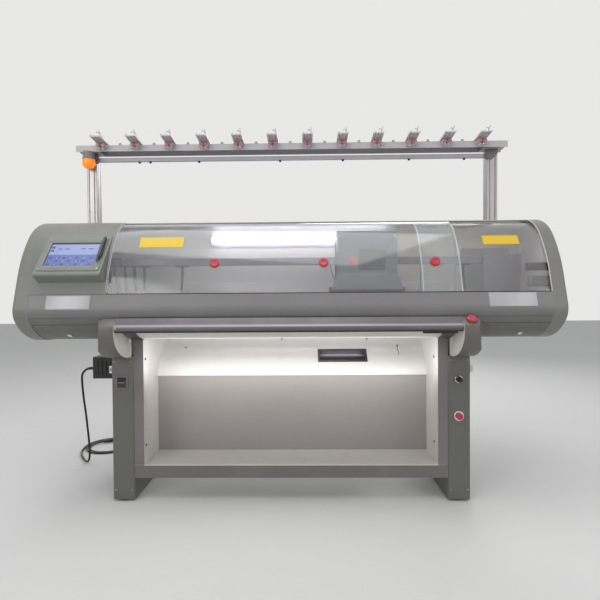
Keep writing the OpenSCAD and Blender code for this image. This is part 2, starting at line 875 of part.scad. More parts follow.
module cover_tracks() {
    color("silver")
        difference() {
            along_x(head_x + 1, end_x - 1) {
                polygon([flat_point(track_s, front_t), flat_point(flat_s(sill_z), front_t),
                    flat_point(flat_s(sill_z), track_in_d), flat_point(track_s, track_in_d)]);
                polygon(upper_track());
            }
            along_x(head_x, end_x) {
                polygon(lower_groove(outer_d));
                polygon(lower_groove(inner_d));
                polygon(upper_groove(outer_d));
                polygon(upper_groove(inner_d));
            }
        }
}

left_cover_x = head_x + cover_fit;
right_cover_x = end_x - cover_fit;

module left_cover() {
    color("lightcyan", 0.4) {
        cover_band(left_cover_x, left_cover_x + left_cover_l, outer_d, cover_lean);
        cover_strip(left_cover_x, left_cover_x + 14, outer_d - 2, 2.5);
        cover_strip(left_cover_x + left_cover_l - 14, left_cover_x + left_cover_l, outer_d - 2, 2.5);
    }
}

module right_cover() {
    color("lightcyan", 0.4) {
        cover_band(right_cover_x - right_cover_l, right_cover_x, inner_d, cover_lean);
        cover_strip(right_cover_x - right_cover_l, right_cover_x - right_cover_l + 14, inner_d - 2, 2.5);
    }
}

// Red knobs in a row on the long cover
knob_lean = 21.3;
cover_knob_x = [-360, 172, 713];

module red_knob(r) {
    cylinder(h = 6, r = r);
    translate([0, 0, 5])
        cylinder(h = 5, r1 = r - 1, r2 = r - 4);
}

module cover_knobs() {
    at = brow_c + (brow_r - outer_d + 0.05) * [-cos(knob_lean), sin(knob_lean)];
    color("crimson")
        for (x = cover_knob_x)
            translate([x, at[0], at[1]])
                rotate([90 - knob_lean, 0, 0])
                    red_knob(cover_knob_d / 2);
}

// Carriage: two cam boxes over the beds, joined by a bridge over the feeder rails
cam_gap = 0.4;
cam_s0 = 30;
cam_s1 = 166;
cam_h = 60;
bridge_in = 54;
bridge_out = 84;
riser_z = bed_z + 38;
arch_z = bed_z + 228;
bridge_top_z = hood_top_z - 67;
cover_half = 100;
carriage_t = 4;

module cam_profile(side) {
    corner_s = (bridge_out - bed_gap / 2 - cam_h * sin(bed_a)) / cos(bed_a);
    corner_h = (bridge_in - bed_gap / 2 - cam_s0 * cos(bed_a)) / sin(bed_a);
    polygon([bed_point(side, cam_s0, cam_gap), bed_point(side, cam_s1, cam_gap), bed_point(side, cam_s1, cam_h),
        bed_point(side, corner_s, cam_h), [bed_y + side * bridge_out, riser_z],
        [bed_y + side * bridge_in, riser_z], bed_point(side, cam_s0, corner_h)]);
}

// The clamp under the rear cam box that holds the top run of the drive belt
module belt_clamp() {
    run_z = pulley_z + pulley_r;
    jaw = 8;
    along_x(carriage_x - 40, carriage_x + 40)
        polygon([[pulley_y - 2, run_z + belt_t + seat_gap], [pulley_y + pulley_w + 1, run_z + belt_t + seat_gap],
            [pulley_y + pulley_w + 1, run_z - seat_gap], [pulley_y, run_z - seat_gap],
            [pulley_y, run_z - jaw], [pulley_y + pulley_w + 5, run_z - jaw],
            [pulley_y + pulley_w + 5, bed_z - 70], bed_point(1, cam_s1 - 20, cam_h - 10),
            bed_point(1, cam_s1 - 1, 24), [pulley_y - 2, run_z + belt_t + 14]]);
}

module cam_boxes() {
    color("slategray") {
        for (side = [-1, 1])
            along_x(carriage_x - cam_box_l / 2, carriage_x + cam_box_l / 2)
                cam_profile(side);
        belt_clamp();
    }
}

module carriage_bridge() {
    color("dimgray")
        along_x(carriage_x - carriage_l / 2 + 6, carriage_x + carriage_l / 2 - 6)
            polygon([[bed_y - bridge_out, riser_z], [bed_y - bridge_out, bridge_top_z],
                [bed_y + bridge_out, bridge_top_z], [bed_y + bridge_out, riser_z], [bed_y + bridge_in, riser_z],
                [bed_y + bridge_in, arch_z], [bed_y - bridge_in, arch_z], [bed_y - bridge_in, riser_z]]);
}

function cover_outline(d) = [
    [bed_y - cover_half + d, riser_z + 8], [bed_y - cover_half + d, bridge_top_z - 22],
    [bed_y - bridge_out - 6 + d / 2, bridge_top_z + carriage_t - d],
    [bed_y + bridge_out + 6 - d / 2, bridge_top_z + carriage_t - d],
    [bed_y + cover_half - d, bridge_top_z - 22], [bed_y + cover_half - d, riser_z + 8]];

module carriage_cover() {
    window_x = carriage_x + 16;
    color("dimgray")
        difference() {
            along_x(carriage_x - carriage_l / 2, carriage_x + carriage_l / 2)
                polygon(concat(cover_outline(0), reversed(cover_outline(carriage_t))));
            block([window_x, bed_y - cover_half - 1, riser_z + 40],
                [window_x + 110, bed_y - cover_half + carriage_t + 1, riser_z + 170]);
        }
}

module carriage_knob() {
    color("crimson")
        translate([carriage_x - 73, bed_y - cover_half, bed_z + 174])
            rotate([90, 0, 0])
                red_knob(22);
}

// Feeder rails run the length of the machine between two brackets
rail_pitch = 32;
rail_t = 8;
rail_low_z = bed_z + 160;
rail_high_z = rail_low_z + 36;
rail_end_x = end_x - 44;
bracket_in_x = base_l / 2 + 4;
bracket_u = 52;
bracket_t = 6;
bracket_top_z = bed_z + 208;
bracket_holes = [30, 70];

module feeder_rails() {
    color("dimgray")
        for (u = [-rail_pitch, 0, rail_pitch])
            difference() {
                block([-rail_end_x, bed_y + u - rail_t / 2, rail_low_z],
                    [rail_end_x, bed_y + u + rail_t / 2, rail_high_z]);
                for (side = [-1, 1])
                    block([-rail_end_x - 1, bed_y + u + side * rail_t / 2 - 1.5, rail_low_z + 14],
                        [rail_end_x + 1, bed_y + u + side * rail_t / 2 + 1.5, rail_low_z + 22]);
            }
}

module rail_bracket() {
    difference() {
        block([bracket_in_x, bed_y - bracket_u, wall_low_z],
            [rail_end_x, bed_y - bracket_u + bracket_t, bracket_top_z]);
        for (inset = bracket_holes)
            rod_y(bed_y - bracket_u - 1, bed_y - bracket_u + bracket_t + 1, rail_end_x - inset,
                rail_high_z - 14, 5);
    }
    block([rail_end_x, bed_y - bracket_u, bed_z + 90],
        [rail_end_x + bracket_t, bed_y + bracket_u, bracket_top_z]);
    block([bracket_in_x, bed_y - bracket_u - 30, wall_low_z],
        [rail_end_x, bed_y - bracket_u + 1, wall_low_z + bracket_t]);
}

module rail_brackets() {
    color("slategray")
        both_sides()
            rail_bracket();
}

// Yarn feeders: a block on one face of a rail and a cranked arm down to the gap between the beds
lane_side = [-1, 1, -1, 1, -1, 1];
feeder_x = [-930, -884, -838, -792, -588, 940];
feeder_t = 9;
feeder_l = 38;
tip_pitch = 5;
feeder_arm_t = 3;
tip_z = bed_z + 12;

module feeder(i) {
    side = lane_side[i];
    rail_u = rail_pitch * (floor(i / 2) - 1);
    face = rail_u + side * (rail_t / 2 + cam_gap);
    far = face + side * feeder_t;
    mid = (face + far) / 2;
    tip = (i - 2.5) * tip_pitch;
    half = feeder_arm_t / 2;
    tip_half = 1;
    low_u = min(face, far);
    high_u = max(face, far);
    hook_end = rail_u + side * seat_gap;
    top = rail_high_z + seat_gap;
    color("darkslategray") {
        block([feeder_x[i] - feeder_l, bed_y + low_u, rail_low_z - 6],
            [feeder_x[i] + feeder_l, bed_y + high_u, top + 4]);
        block([feeder_x[i] - feeder_l, bed_y + min(hook_end, far), top],
            [feeder_x[i] + feeder_l, bed_y + max(hook_end, far), top + 4]);
        along_x(feeder_x[i] - 7, feeder_x[i] + 7)
            polygon([[bed_y + mid - half, rail_low_z - 5], [bed_y + mid - half, bed_z + 110],
                [bed_y + tip - tip_half, bed_z + 40], [bed_y + tip - tip_half, bed_z + 26],
                [bed_y + tip + tip_half, bed_z + 26], [bed_y + tip + tip_half, bed_z + 40],
                [bed_y + mid + half, bed_z + 110], [bed_y + mid + half, rail_low_z - 5]]);
        block([feeder_x[i] - 2.5, bed_y + tip - tip_half, tip_z],
            [feeder_x[i] + 2.5, bed_y + tip + tip_half, bed_z + 27]);
    }
}

module feeder_1() {
    feeder(0);
}

module feeder_2() {
    feeder(1);
}

module feeder_3() {
    feeder(2);
}

module feeder_4() {
    feeder(3);
}

module feeder_5() {
    feeder(4);
}

module feeder_6() {
    feeder(5);
}

// Lamp tube on clips inside the rear cover
lamp_x0 = -460;
lamp_x1 = 560;
lamp_drop = 75;
lamp_z = hood_top_z - lamp_drop;
clip_inset = 80;
clip_w = 20;
lamp_r = 13;
lamp_y = hood_back_y - sheet_t - 26;

module led_tube() {
    color("white") {
        rod_x(lamp_x0, lamp_x1, lamp_y, lamp_z, lamp_r);
        for (x = [lamp_x0 + clip_inset, lamp_x1 - clip_inset - clip_w])
            block([x, lamp_y + 4, lamp_z - 24], [x + clip_w, hood_back_y - sheet_t, lamp_z - 6]);
    }
}

// Operating bar between the arms, on a pin at each end
bar_end_gap = 2;
bar_tail = 8;

module operating_bar() {
    half = arm_in_x - bar_end_gap;
    color("silver") {
        along_x(-half, half)
            polygon([[front_y + 37, bar_axis[1] + 53], [front_y + 33, bar_axis[1] + 53],
                [front_y + 5, bar_axis[1] + 13], [front_y + 2, bar_axis[1] + 6], [front_y + 2, bar_axis[1] - 1],
                [front_y + 5, bar_axis[1] - 7], [front_y + 11, bar_axis[1] - 11],
                [front_y + 30, bar_axis[1] - 11], [front_y + 36, bar_axis[1] - 4],
                [front_y + 36, bar_axis[1] + 8]]);
        both_sides()
            rod_x(half - 1, arm_in_x + bar_tail, bar_axis[0], bar_axis[1], bar_pin_r);
    }
}

// Controls on the legs
button_travel = 4;

module leg_button() {
    color("firebrick") {
        rod_y(leg_front_y - button_travel - 1, leg_front_y + leg_t + 8, button_x, button_z,
            button_stem_r - shaft_gap);
        rod_y(leg_front_y - button_travel - 11, leg_front_y - button_travel - 0.6, button_x, button_z, 17);
    }
}

module leg_knob() {
    color("black") {
        rod_y(leg_front_y - 2, leg_front_y + leg_t + 8, button_x, knob_z, knob_stem_r - shaft_gap);
        rod_y(leg_front_y - 16, leg_front_y - seat_gap, button_x, knob_z, 15);
        block([button_x - 4, leg_front_y - 24, knob_z - 14], [button_x + 4, leg_front_y - 15, knob_z + 14]);
    }
}

rocker_pivot_r = 3;

module switch_plate() {
    frame = 5;
    color("black")
        difference() {
            union() {
                block([switch_x - switch_w / 2 - frame, leg_front_y - 3, switch_z - switch_h / 2 - frame],
                    [switch_x + switch_w / 2 + frame, leg_front_y, switch_z + switch_h / 2 + frame]);
                block([switch_x - switch_w / 2, leg_front_y - 1, switch_z - switch_h / 2],
                    [switch_x + switch_w / 2, leg_front_y + 20, switch_z + switch_h / 2]);
            }
            block([switch_x - switch_w / 2 + frame, leg_front_y - 4, switch_z - switch_h / 2 + frame],
                [switch_x + switch_w / 2 - frame, leg_front_y + 16, switch_z + switch_h / 2 - frame]);
            rod_x(switch_x - switch_w / 2 + 2, switch_x + switch_w / 2 - 2, leg_front_y + 4, switch_z,
                rocker_pivot_r + shaft_gap);
        }
}

module power_rocker() {
    half_w = switch_w / 2 - 5 - 0.5;
    half_h = switch_h / 2 - 5 - 2.5;
    color("black") {
        along_x(switch_x - half_w, switch_x + half_w)
            polygon([[leg_front_y - 5, switch_z - half_h], [leg_front_y - 1, switch_z],
                [leg_front_y - 5, switch_z + half_h], [leg_front_y + 2, switch_z + half_h],
                [leg_front_y + 8, switch_z + 6], [leg_front_y + 8, switch_z - 6],
                [leg_front_y + 2, switch_z - half_h]]);
        rod_x(switch_x - half_w - 2.5, switch_x + half_w + 2.5, leg_front_y + 4, switch_z, rocker_pivot_r);
    }
}

module side_hook() {
    block([leg_out_x, hook_y - 10, hook_z - 20], [leg_out_x + 3, hook_y + 10, hook_z + 20]);
    for (z = [hook_z - 14, hook_z + 14])
        rod_x(leg_out_x + 2, leg_out_x + 16, hook_y, z, 4);
    translate([leg_out_x + 14, hook_y, hook_z - 18])
        cylinder(h = 36, r = 4);
}

module side_hooks() {
    color("silver")
        both_sides()
            side_hook();
}

// Black box on the left leg with the gland of the mains lead
box_size = [200, 200, 120];
box_setback = 211;
box_z = 598;
box_low = [-leg_out_x - box_size[0], leg_front_y + box_setback, box_z];
box_high = box_low + box_size;
gland_y = box_low[1] + box_size[1] / 2;
gland_z = box_z + 42;
gland_l = 32;
cord_r = 6;

module power_box() {
    color("black")
        difference() {
            union() {
                translate([0, 0, box_low[2]])
                    linear_extrude(height = box_high[2] - box_low[2])
                        polygon(round_box(box_low[0], box_low[1], box_high[0], box_high[1], 6));
                rod_x(box_low[0] - gland_l, box_low[0] + 1, gland_y, gland_z, 10);
                rod_x(box_low[0] - 10, box_low[0] + 1, gland_y, gland_z, 15);
            }
            for (i = [0:5])
                block([box_low[0] + 30 + i * 24, box_low[1] - 1, box_low[2] + 20],
                    [box_low[0] + 42 + i * 24, box_low[1] + 3, box_high[2] - 20]);
        }
}

// Yarn stand
post_front_y = hood_back_y + 10;
post_back_y = post_front_y + post_w;
beam_front_y = post_back_y - 100;
beam_t_sheet = 3;
post_low_z = hood_base_z + 62;

module yarn_post() {
    g = 5;
    h = post_w / 2;
    translate([post_x, post_front_y + h, post_low_z])
        linear_extrude(height = beam_z - post_low_z)
            difference() {
                polygon(round_box(-h, -h, h, h, 4));
                for (a = [0:90:270])
                    rotate(a)
                        for (v = [-h / 2, h / 2])
                            translate([h - g, v - g / 2])
                                square([g + 1, g]);
            }
    for (z = [post_low_z + 40, bed_z + 150])
        block([post_x - 55, hood_back_y, z], [post_x + 55, post_front_y + 0.5, z + 90]);
}

module yarn_posts() {
    color("silver")
        both_sides()
            yarn_post();
}

module yarn_beam() {
    color("white") {
        along_x(-post_x - beam_over, post_x + beam_over)
            polygon([[beam_front_y, beam_z], [beam_front_y, beam_z + beam_h], [post_back_y, beam_z + beam_h],
                [post_back_y, beam_z], [post_back_y - beam_t_sheet, beam_z],
                [post_back_y - beam_t_sheet, beam_z + beam_h - beam_t_sheet],
                [beam_front_y + beam_t_sheet, beam_z + beam_h - beam_t_sheet], [beam_front_y + beam_t_sheet, beam_z]]);
        both_sides()
            block([post_x - 60, post_front_y - 20, beam_z], [post_x + 60, post_back_y - 1, beam_z + 4]);
    }
}

rail_tube = 22;
guide_z = beam_z - 34;

module guide_rail() {
    y = post_front_y + 6;
    inner = post_x - post_w / 2;
    color("silver")
        difference() {
            block([-inner, y, guide_z - rail_tube / 2], [inner, y + rail_tube, guide_z + rail_tube / 2]);
            block([-inner - 1, y + 2, guide_z - rail_tube / 2 + 2],
                [inner + 1, y + rail_tube - 2, guide_z + rail_tube / 2 - 2]);
        }
}

// Tension units on top of the beam: bracket, plate, discs on pins and a stop-motion arm
plate_w = 58;
plate_reach = 105;
plate_rise = 7;
disc_r = 12;

module tension_pin() {
    rotate([90, 0, 0]) {
        cylinder(h = 34, r = 2.5, $fn = 20);
        translate([0, 0, 15])
            cylinder(h = 2, r1 = disc_r, r2 = disc_r - 2);
        translate([0, 0, 18])
            cylinder(h = 2, r1 = disc_r - 2, r2 = disc_r);
        translate([0, 0, 25])
            cylinder(h = 9, r = 6);
    }
}

module tension_unit() {
    block([-14, 0, 0], [14, 30, 4]);
    block([-24, -4, -22], [24, 0, 4]);
    rotate([-plate_rise, 0, 0])
        block([-plate_w / 2, -plate_reach, 5], [plate_w / 2, 30, 8]);
    block([-14, -4, 2], [14, 20, 7]);
    for (x = [-15, 15])
        translate([x, -2, -9])
            tension_pin();
    rotate([-26, 0, 0])
        rod_y(-112, -2, 20, 4, 1.6);
    block([17, -6, -2], [23, -1, 8]);
}

module tension_units() {
    color("whitesmoke")
        for (i = [0:tension_count - 1])
            translate([(i - (tension_count - 1) / 2) * tension_pitch, beam_front_y, beam_z + beam_h])
                tension_unit();
}

// Amber lamp on a cap under the left end of the beam
lamp_dome_r = 35;
lamp_cap_h = 40;
lamp_dome_h = 52;

module signal_lamp() {
    color("orange")
        translate([-post_x, post_front_y - lamp_dome_r - 1, beam_z]) {
            translate([0, 0, -lamp_cap_h])
                cylinder(h = lamp_cap_h, r = 30);
            translate([0, 0, -lamp_cap_h - lamp_dome_h + 16])
                cylinder(h = lamp_dome_h - 16, r = lamp_dome_r);
            translate([0, 0, -lamp_cap_h - lamp_dome_h])
                cylinder(h = 16, r1 = lamp_dome_r - 12, r2 = lamp_dome_r);
        }
}

module yarn_table() {
    rim = 22;
    t = 3;
    half = post_x + post_w / 2;
    color("white") {
        difference() {
            block([-half, post_back_y, table_z], [half, back_y, table_z + rim]);
            block([-half + t, post_back_y + t, table_z + t], [half - t, back_y - t, table_z + rim + 1]);
        }
        both_sides()
            along_x(post_x - 20, post_x + 20)
                polygon([[post_back_y, table_z], [back_y - 60, table_z], [back_y - 60, table_z - 10],
                    [post_back_y + 10, table_z - 160], [post_back_y, table_z - 160]]);
        block([-post_x - 20, post_back_y, table_z - 10], [post_x + 20, post_back_y + 12, table_z + 1]);
    }
}

// Mains lead: out of the gland, down beside the stand and round in a loose coil on the floor
lead_start = [box_low[0] - gland_l, gland_y, 0];
lead_route = [[-0.3, 0, 640], [-24, 0, 640], [-46, 0, 636], [-65, 1, 623], [-77.6, 3, 604], [-82.5, 7, 582],
    [-85, 14, 545], [-87, 32, 460], [-87, 54, 370], [-88, 74, 280], [-91, 96, 190], [-100, 122, 112],
    [-119, 156, 54], [-150, 198, 18], [-190, 244, 7], [-232, 298, 7], [-268, 354, 7], [-294, 410, 7]];
cord_lead = [for (p = lead_route) lead_start + p];
coil_c = [lead_start[0] - 154, lead_start[1] + 526];
coil_r = 165;
coil_pitch = 18;
coil_turns = 2;
coil_points = 12;
coil_start = 200;
cord_z = cord_r + 1;
plug_bend_r = 80;
plug_z = 15;
coil = [for (k = [0:coil_turns * coil_points])
    let (a = coil_start - 360 * k / coil_points, r = coil_r - coil_pitch * k / coil_points)
    [coil_c[0] + r * cos(a), coil_c[1] + r * sin(a), cord_z]];
coil_end = coil[len(coil) - 1];
coil_way = [sin(coil_start), -cos(coil_start), 0];
coil_in = [-cos(coil_start), -sin(coil_start), 0];
plug_bend = [for (a = [36, 63, 90])
    coil_end + plug_bend_r * (sin(a) * coil_way + (1 - cos(a)) * coil_in) + [0, 0, (plug_z - cord_z) * a / 90]];
cord_path = concat(cord_lead, coil, plug_bend);
cord_sides = 8;
rings_per_leg = 2;
plug_start = cord_path[len(cord_path) - 1];

// A smooth curve through the route's points
function spline(p0, p1, p2, p3, t) = 0.5 * (2 * p1 + (p2 - p0) * t + (2 * p0 - 5 * p1 + 4 * p2 - p3) * t * t
    + (3 * p1 - p0 - 3 * p2 + p3) * t * t * t);
function path_point(i) = cord_path[max(0, min(len(cord_path) - 1, i))];
cord_line = concat([for (i = [0:len(cord_path) - 2], k = [0:rings_per_leg - 1])
    spline(path_point(i - 1), path_point(i), path_point(i + 1), path_point(i + 2), k / rings_per_leg)],
    [path_point(len(cord_path) - 1)]);
function unit(v) = v / norm(v);
function cord_dir(i) = unit(cord_line[min(i + 1, len(cord_line) - 1)] - cord_line[max(i - 1, 0)]);
// Side directions carried along the route, so that the tube doesn't twist
function side_list(i, last) = i == len(cord_line) ? []
    : let (t = cord_dir(i), side = unit(last - (last * t) * t)) concat([side], side_list(i + 1, side));
cord_side = side_list(0, [0, 1, 0]);

module mains_cord() {
    n = cord_sides;
    count = len(cord_line);
    points = [for (i = [0:count - 1], j = [0:n - 1])
        let (side = cord_side[i], up = cross(cord_dir(i), side), a = 360 * j / n)
        cord_line[i] + cord_r * (cos(a) * side + sin(a) * up)];
    sides = [for (i = [0:count - 2], j = [0:n - 1])
        [i * n + j, (i + 1) * n + j, (i + 1) * n + (j + 1) % n, i * n + (j + 1) % n]];
    color("black")
        polyhedron(points, concat(sides, [[for (j = [0:n - 1]) j]],
            [[for (j = [n - 1:-1:0]) (count - 1) * n + j]]));
}

module mains_plug() {
    plug_dir = cord_dir(len(cord_line) - 1);
    color("firebrick")
        translate(plug_start + 0.3 * plug_dir)
            rotate([0, acos(plug_dir[2]), atan2(plug_dir[1], plug_dir[0])]) {
                cylinder(h = 40, r1 = 9, r2 = 13);
                translate([0, 0, 39])
                    cylinder(h = 62, r = 14);
            }
}

left_leg();
right_leg();
left_arm();
right_arm();
levelling_feet();
shelf_tray();
side_walls();
back_panel();
chute_panel();
control_box();
bed_base();
end_frames();
front_needle_bed();
rear_needle_bed();
front_cover();
rear_cover();
left_head_cover();
right_end_cover();
screen_housing();
touch_screen();
cover_tracks();
left_cover();
cover_knobs();
right_cover();
carriage_bridge();
cam_boxes();
carriage_cover();
carriage_knob();
rail_brackets();
feeder_rails();
feeder_1();
feeder_2();
feeder_3();
feeder_4();
feeder_5();
feeder_6();
led_tube();
takedown_roller();
pinch_roller();
roller_bearings();
gear_motors();
drive_pulley();
idler_pulley();
drive_belt();
operating_bar();
stop_button();
leg_button();
leg_knob();
switch_plate();
power_rocker();
side_hooks();
yarn_table();
yarn_posts();
yarn_beam();
guide_rail();
tension_units();
signal_lamp();
power_box();
mains_cord();
mains_plug();
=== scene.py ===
import math
import random

import bmesh
import bpy
from mathutils import Matrix, Vector


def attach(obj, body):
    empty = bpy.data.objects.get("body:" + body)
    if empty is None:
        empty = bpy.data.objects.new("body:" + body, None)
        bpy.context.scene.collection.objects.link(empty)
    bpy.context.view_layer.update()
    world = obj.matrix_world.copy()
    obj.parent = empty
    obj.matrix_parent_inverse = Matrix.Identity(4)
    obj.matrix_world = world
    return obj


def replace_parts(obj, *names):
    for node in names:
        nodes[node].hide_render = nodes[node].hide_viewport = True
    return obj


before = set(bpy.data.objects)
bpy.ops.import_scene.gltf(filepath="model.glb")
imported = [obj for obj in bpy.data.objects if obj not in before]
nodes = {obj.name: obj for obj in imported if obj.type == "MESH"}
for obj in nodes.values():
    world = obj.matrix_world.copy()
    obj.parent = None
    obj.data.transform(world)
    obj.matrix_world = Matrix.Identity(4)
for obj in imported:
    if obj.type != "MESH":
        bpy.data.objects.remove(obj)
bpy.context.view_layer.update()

MM = 0.001
scene = bpy.context.scene
scene.view_settings.view_transform = "Standard"


# ---------------- camera
CAMERA_AT = (0.090, -2.571, 1.071)
CAMERA_TURNS = ((0.89, "Z"), (89.11, "X"), (-0.4, "Z"))
FOCAL_LENGTH = 27.06


def add_camera():
    lens = bpy.data.cameras.new("camera")
    lens.lens = FOCAL_LENGTH
    lens.sensor_width = 36.0
    lens.clip_end = 60.0
    camera = bpy.data.objects.new("camera", lens)
    where = Matrix.Translation(CAMERA_AT)
    for degrees, axis in CAMERA_TURNS:
        where = where @ Matrix.Rotation(math.radians(degrees), 4, axis)
    camera.matrix_world = where
    scene.collection.objects.link(camera)
    scene.camera = camera


add_camera()


# ---------------- mesh making, all lengths in millimetres
def show(name, mesh):
    piece = bpy.data.objects.new(name, mesh)
    scene.collection.objects.link(piece)
    return piece


def kept(name, bm):
    """A new piece from an edited mesh."""
    mesh = bpy.data.meshes.new(name)
    bm.to_mesh(mesh)
    bm.free()
    return show(name, mesh)


def shade(piece, angle=32):
    for face in piece.data.polygons:
        face.use_smooth = True
    piece.data.set_sharp_from_angle(angle=math.radians(angle))
    return piece


def skin(name, points, faces, angle=32):
    """A mesh from points in millimetres, with its faces turned outwards."""
    mesh = bpy.data.meshes.new(name)
    mesh.from_pydata([Vector(p) * MM for p in points], [], faces)
    bm = bmesh.new()
    bm.from_mesh(mesh)
    bmesh.ops.remove_doubles(bm, verts=bm.verts, dist=1e-7)
    bmesh.ops.recalc_face_normals(bm, faces=bm.faces)
    return shade(kept(name, bm), angle)


def bands(n, count):
    """Faces between rings of n points each, all round, over a number of steps."""
    return [
        (i * n + j, i * n + (j + 1) % n, (i + 1) * n + (j + 1) % n, (i + 1) * n + j)
        for i in range(count) for j in range(n)
    ]


def run_x(name, profile, x0, x1):
    """A profile of [y, z] points run along X."""
    n = len(profile)
    points = [(x, p[0], p[1]) for x in (x0, x1) for p in profile]
    return skin(name, points, bands(n, 1) + [tuple(range(n)), tuple(range(2 * n - 1, n - 1, -1))])


def rounded(name, low, high, r=1.5, steps=2, turn=None):
    """A box with rounded edges, turned and moved by a matrix in millimetres if one is given."""
    bm = bmesh.new()
    bmesh.ops.create_cube(bm, size=1.0)
    size = Vector(high) - Vector(low)
    middle = (Vector(high) + Vector(low)) / 2
    for v in bm.verts:
        v.co = Vector(c * s for c, s in zip(v.co, size)) + middle
    bmesh.ops.bevel(bm, geom=bm.edges, offset=min(r, min(size) * 0.45), segments=steps, affect="EDGES", profile=0.5)
    if turn:
        bmesh.ops.transform(bm, matrix=turn, verts=bm.verts)
    bmesh.ops.scale(bm, vec=(MM, MM, MM), verts=bm.verts)
    return shade(kept(name, bm), 40)


def across(way):
    """A way of length 1 and two ways square to it."""
    way = Vector(way).normalized()
    side = way.orthogonal().normalized()
    return way, side, way.cross(side)


def around(side, up, count):
    """Ways all round a line, from one of its sides."""
    return [math.cos(a) * side + math.sin(a) * up for a in (math.tau * i / count for i in range(count))]


def lathe(name, profile, at=(0, 0, 0), way=(0, 0, 1), sides=32, angle=32):
    """A profile of (radius, height) turned about the line through a point."""
    way, side, up = across(way)
    points, rings = [], []
    for r, h in profile:
        centre = Vector(at) + way * h
        if r < 1e-6:
            rings.append([len(points)])
            points.append(centre)
        else:
            rings.append(list(range(len(points), len(points) + sides)))
            points += [centre + r * out for out in around(side, up, sides)]
    faces = []
    for a, b in zip(rings, rings[1:]):
        for i in range(sides):
            j = (i + 1) % sides
            if len(a) == 1 and len(b) > 1:
                faces.append((a[0], b[j], b[i]))
            elif len(b) == 1 and len(a) > 1:
                faces.append((a[i], a[j], b[0]))
            elif len(a) > 1:
                faces.append((a[i], a[j], b[j], b[i]))
    if len(rings[0]) > 1:
        faces.append(tuple(reversed(rings[0])))
    if len(rings[-1]) > 1:
        faces.append(tuple(rings[-1]))
    return skin(name, points, faces, angle=angle)


def wire(name, path, r=None, sides=8, radii=None):
    """A round wire or tube along points, with closed ends."""
    path = [Vector(p) for p in path]
    points = []
    side = None
    for i, p in enumerate(path):
        way = (path[min(i + 1, len(path) - 1)] - path[max(i - 1, 0)]).normalized()
        side = way.orthogonal().normalized() if side is None else (side - side.dot(way) * way).normalized()
        up = way.cross(side)
        size = radii[i] if radii else r
        points += [p + size * out for out in around(side, up, sides)]
    ends = [tuple(range(sides - 1, -1, -1)), tuple(range((len(path) - 1) * sides, len(path) * sides))]
    return skin(name, points, bands(sides, len(path) - 1) + ends, angle=50)


def curved(points, steps=6):
    """A smooth run of points through a route's points."""
    route = [Vector(p) for p in points]
    line = []
    for i in range(len(route) - 1):
        p0, p1 = route[max(i - 1, 0)], route[i]
        p2, p3 = route[i + 1], route[min(i + 2, len(route) - 1)]
        for k in range(steps):
            t = k / steps
            line.append(
                0.5 * (2 * p1 + (p2 - p0) * t + (2 * p0 - 5 * p1 + 4 * p2 - p3) * t * t
                       + (3 * p1 - p0 - 3 * p2 + p3) * t * t * t)
            )
    return line + [route[-1]]


def merge(name, pieces):
    """Several pieces joined into the first one."""
    with bpy.context.temp_override(
        active_object=pieces[0], object=pieces[0], selected_objects=pieces, selected_editable_objects=pieces
    ):
        bpy.ops.object.join()
    pieces[0].name = name
    pieces[0].data.name = name
    return pieces[0]


def settle(piece, angle=None):
    """The piece with its modifiers turned into plain mesh."""
    graph = bpy.context.evaluated_depsgraph_get()
    mesh = bpy.data.meshes.new_from_object(piece.evaluated_get(graph))
    piece.modifiers.clear()
    piece.data = mesh
    mesh.name = piece.name
    return shade(piece, angle) if angle else piece


def coated(piece, material):
    piece.data.materials.clear()
    piece.data.materials.append(material)


def fit(piece, finish_name=None, body="machine"):
    """Coats a finished piece and lets it ride on a body."""
    if finish_name:
        coated(piece, M[finish_name])
    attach(piece, body)
    return piece


def block(name, low, high, r, finish_name, body="machine", steps=2, turn=None):
    """A coated box with rounded edges."""
    fit(rounded(name, low, high, r, steps, turn), finish_name, body)


# ---------------- colours and node trees
def paint(r, g, b):
    """A colour written as it shows on a screen, 0 to 255."""
    shown = (r / 255, g / 255, b / 255)
    return (*(c / 12.92 if c <= 0.04045 else ((c + 0.055) / 1.055) ** 2.4 for c in shown), 1.0)


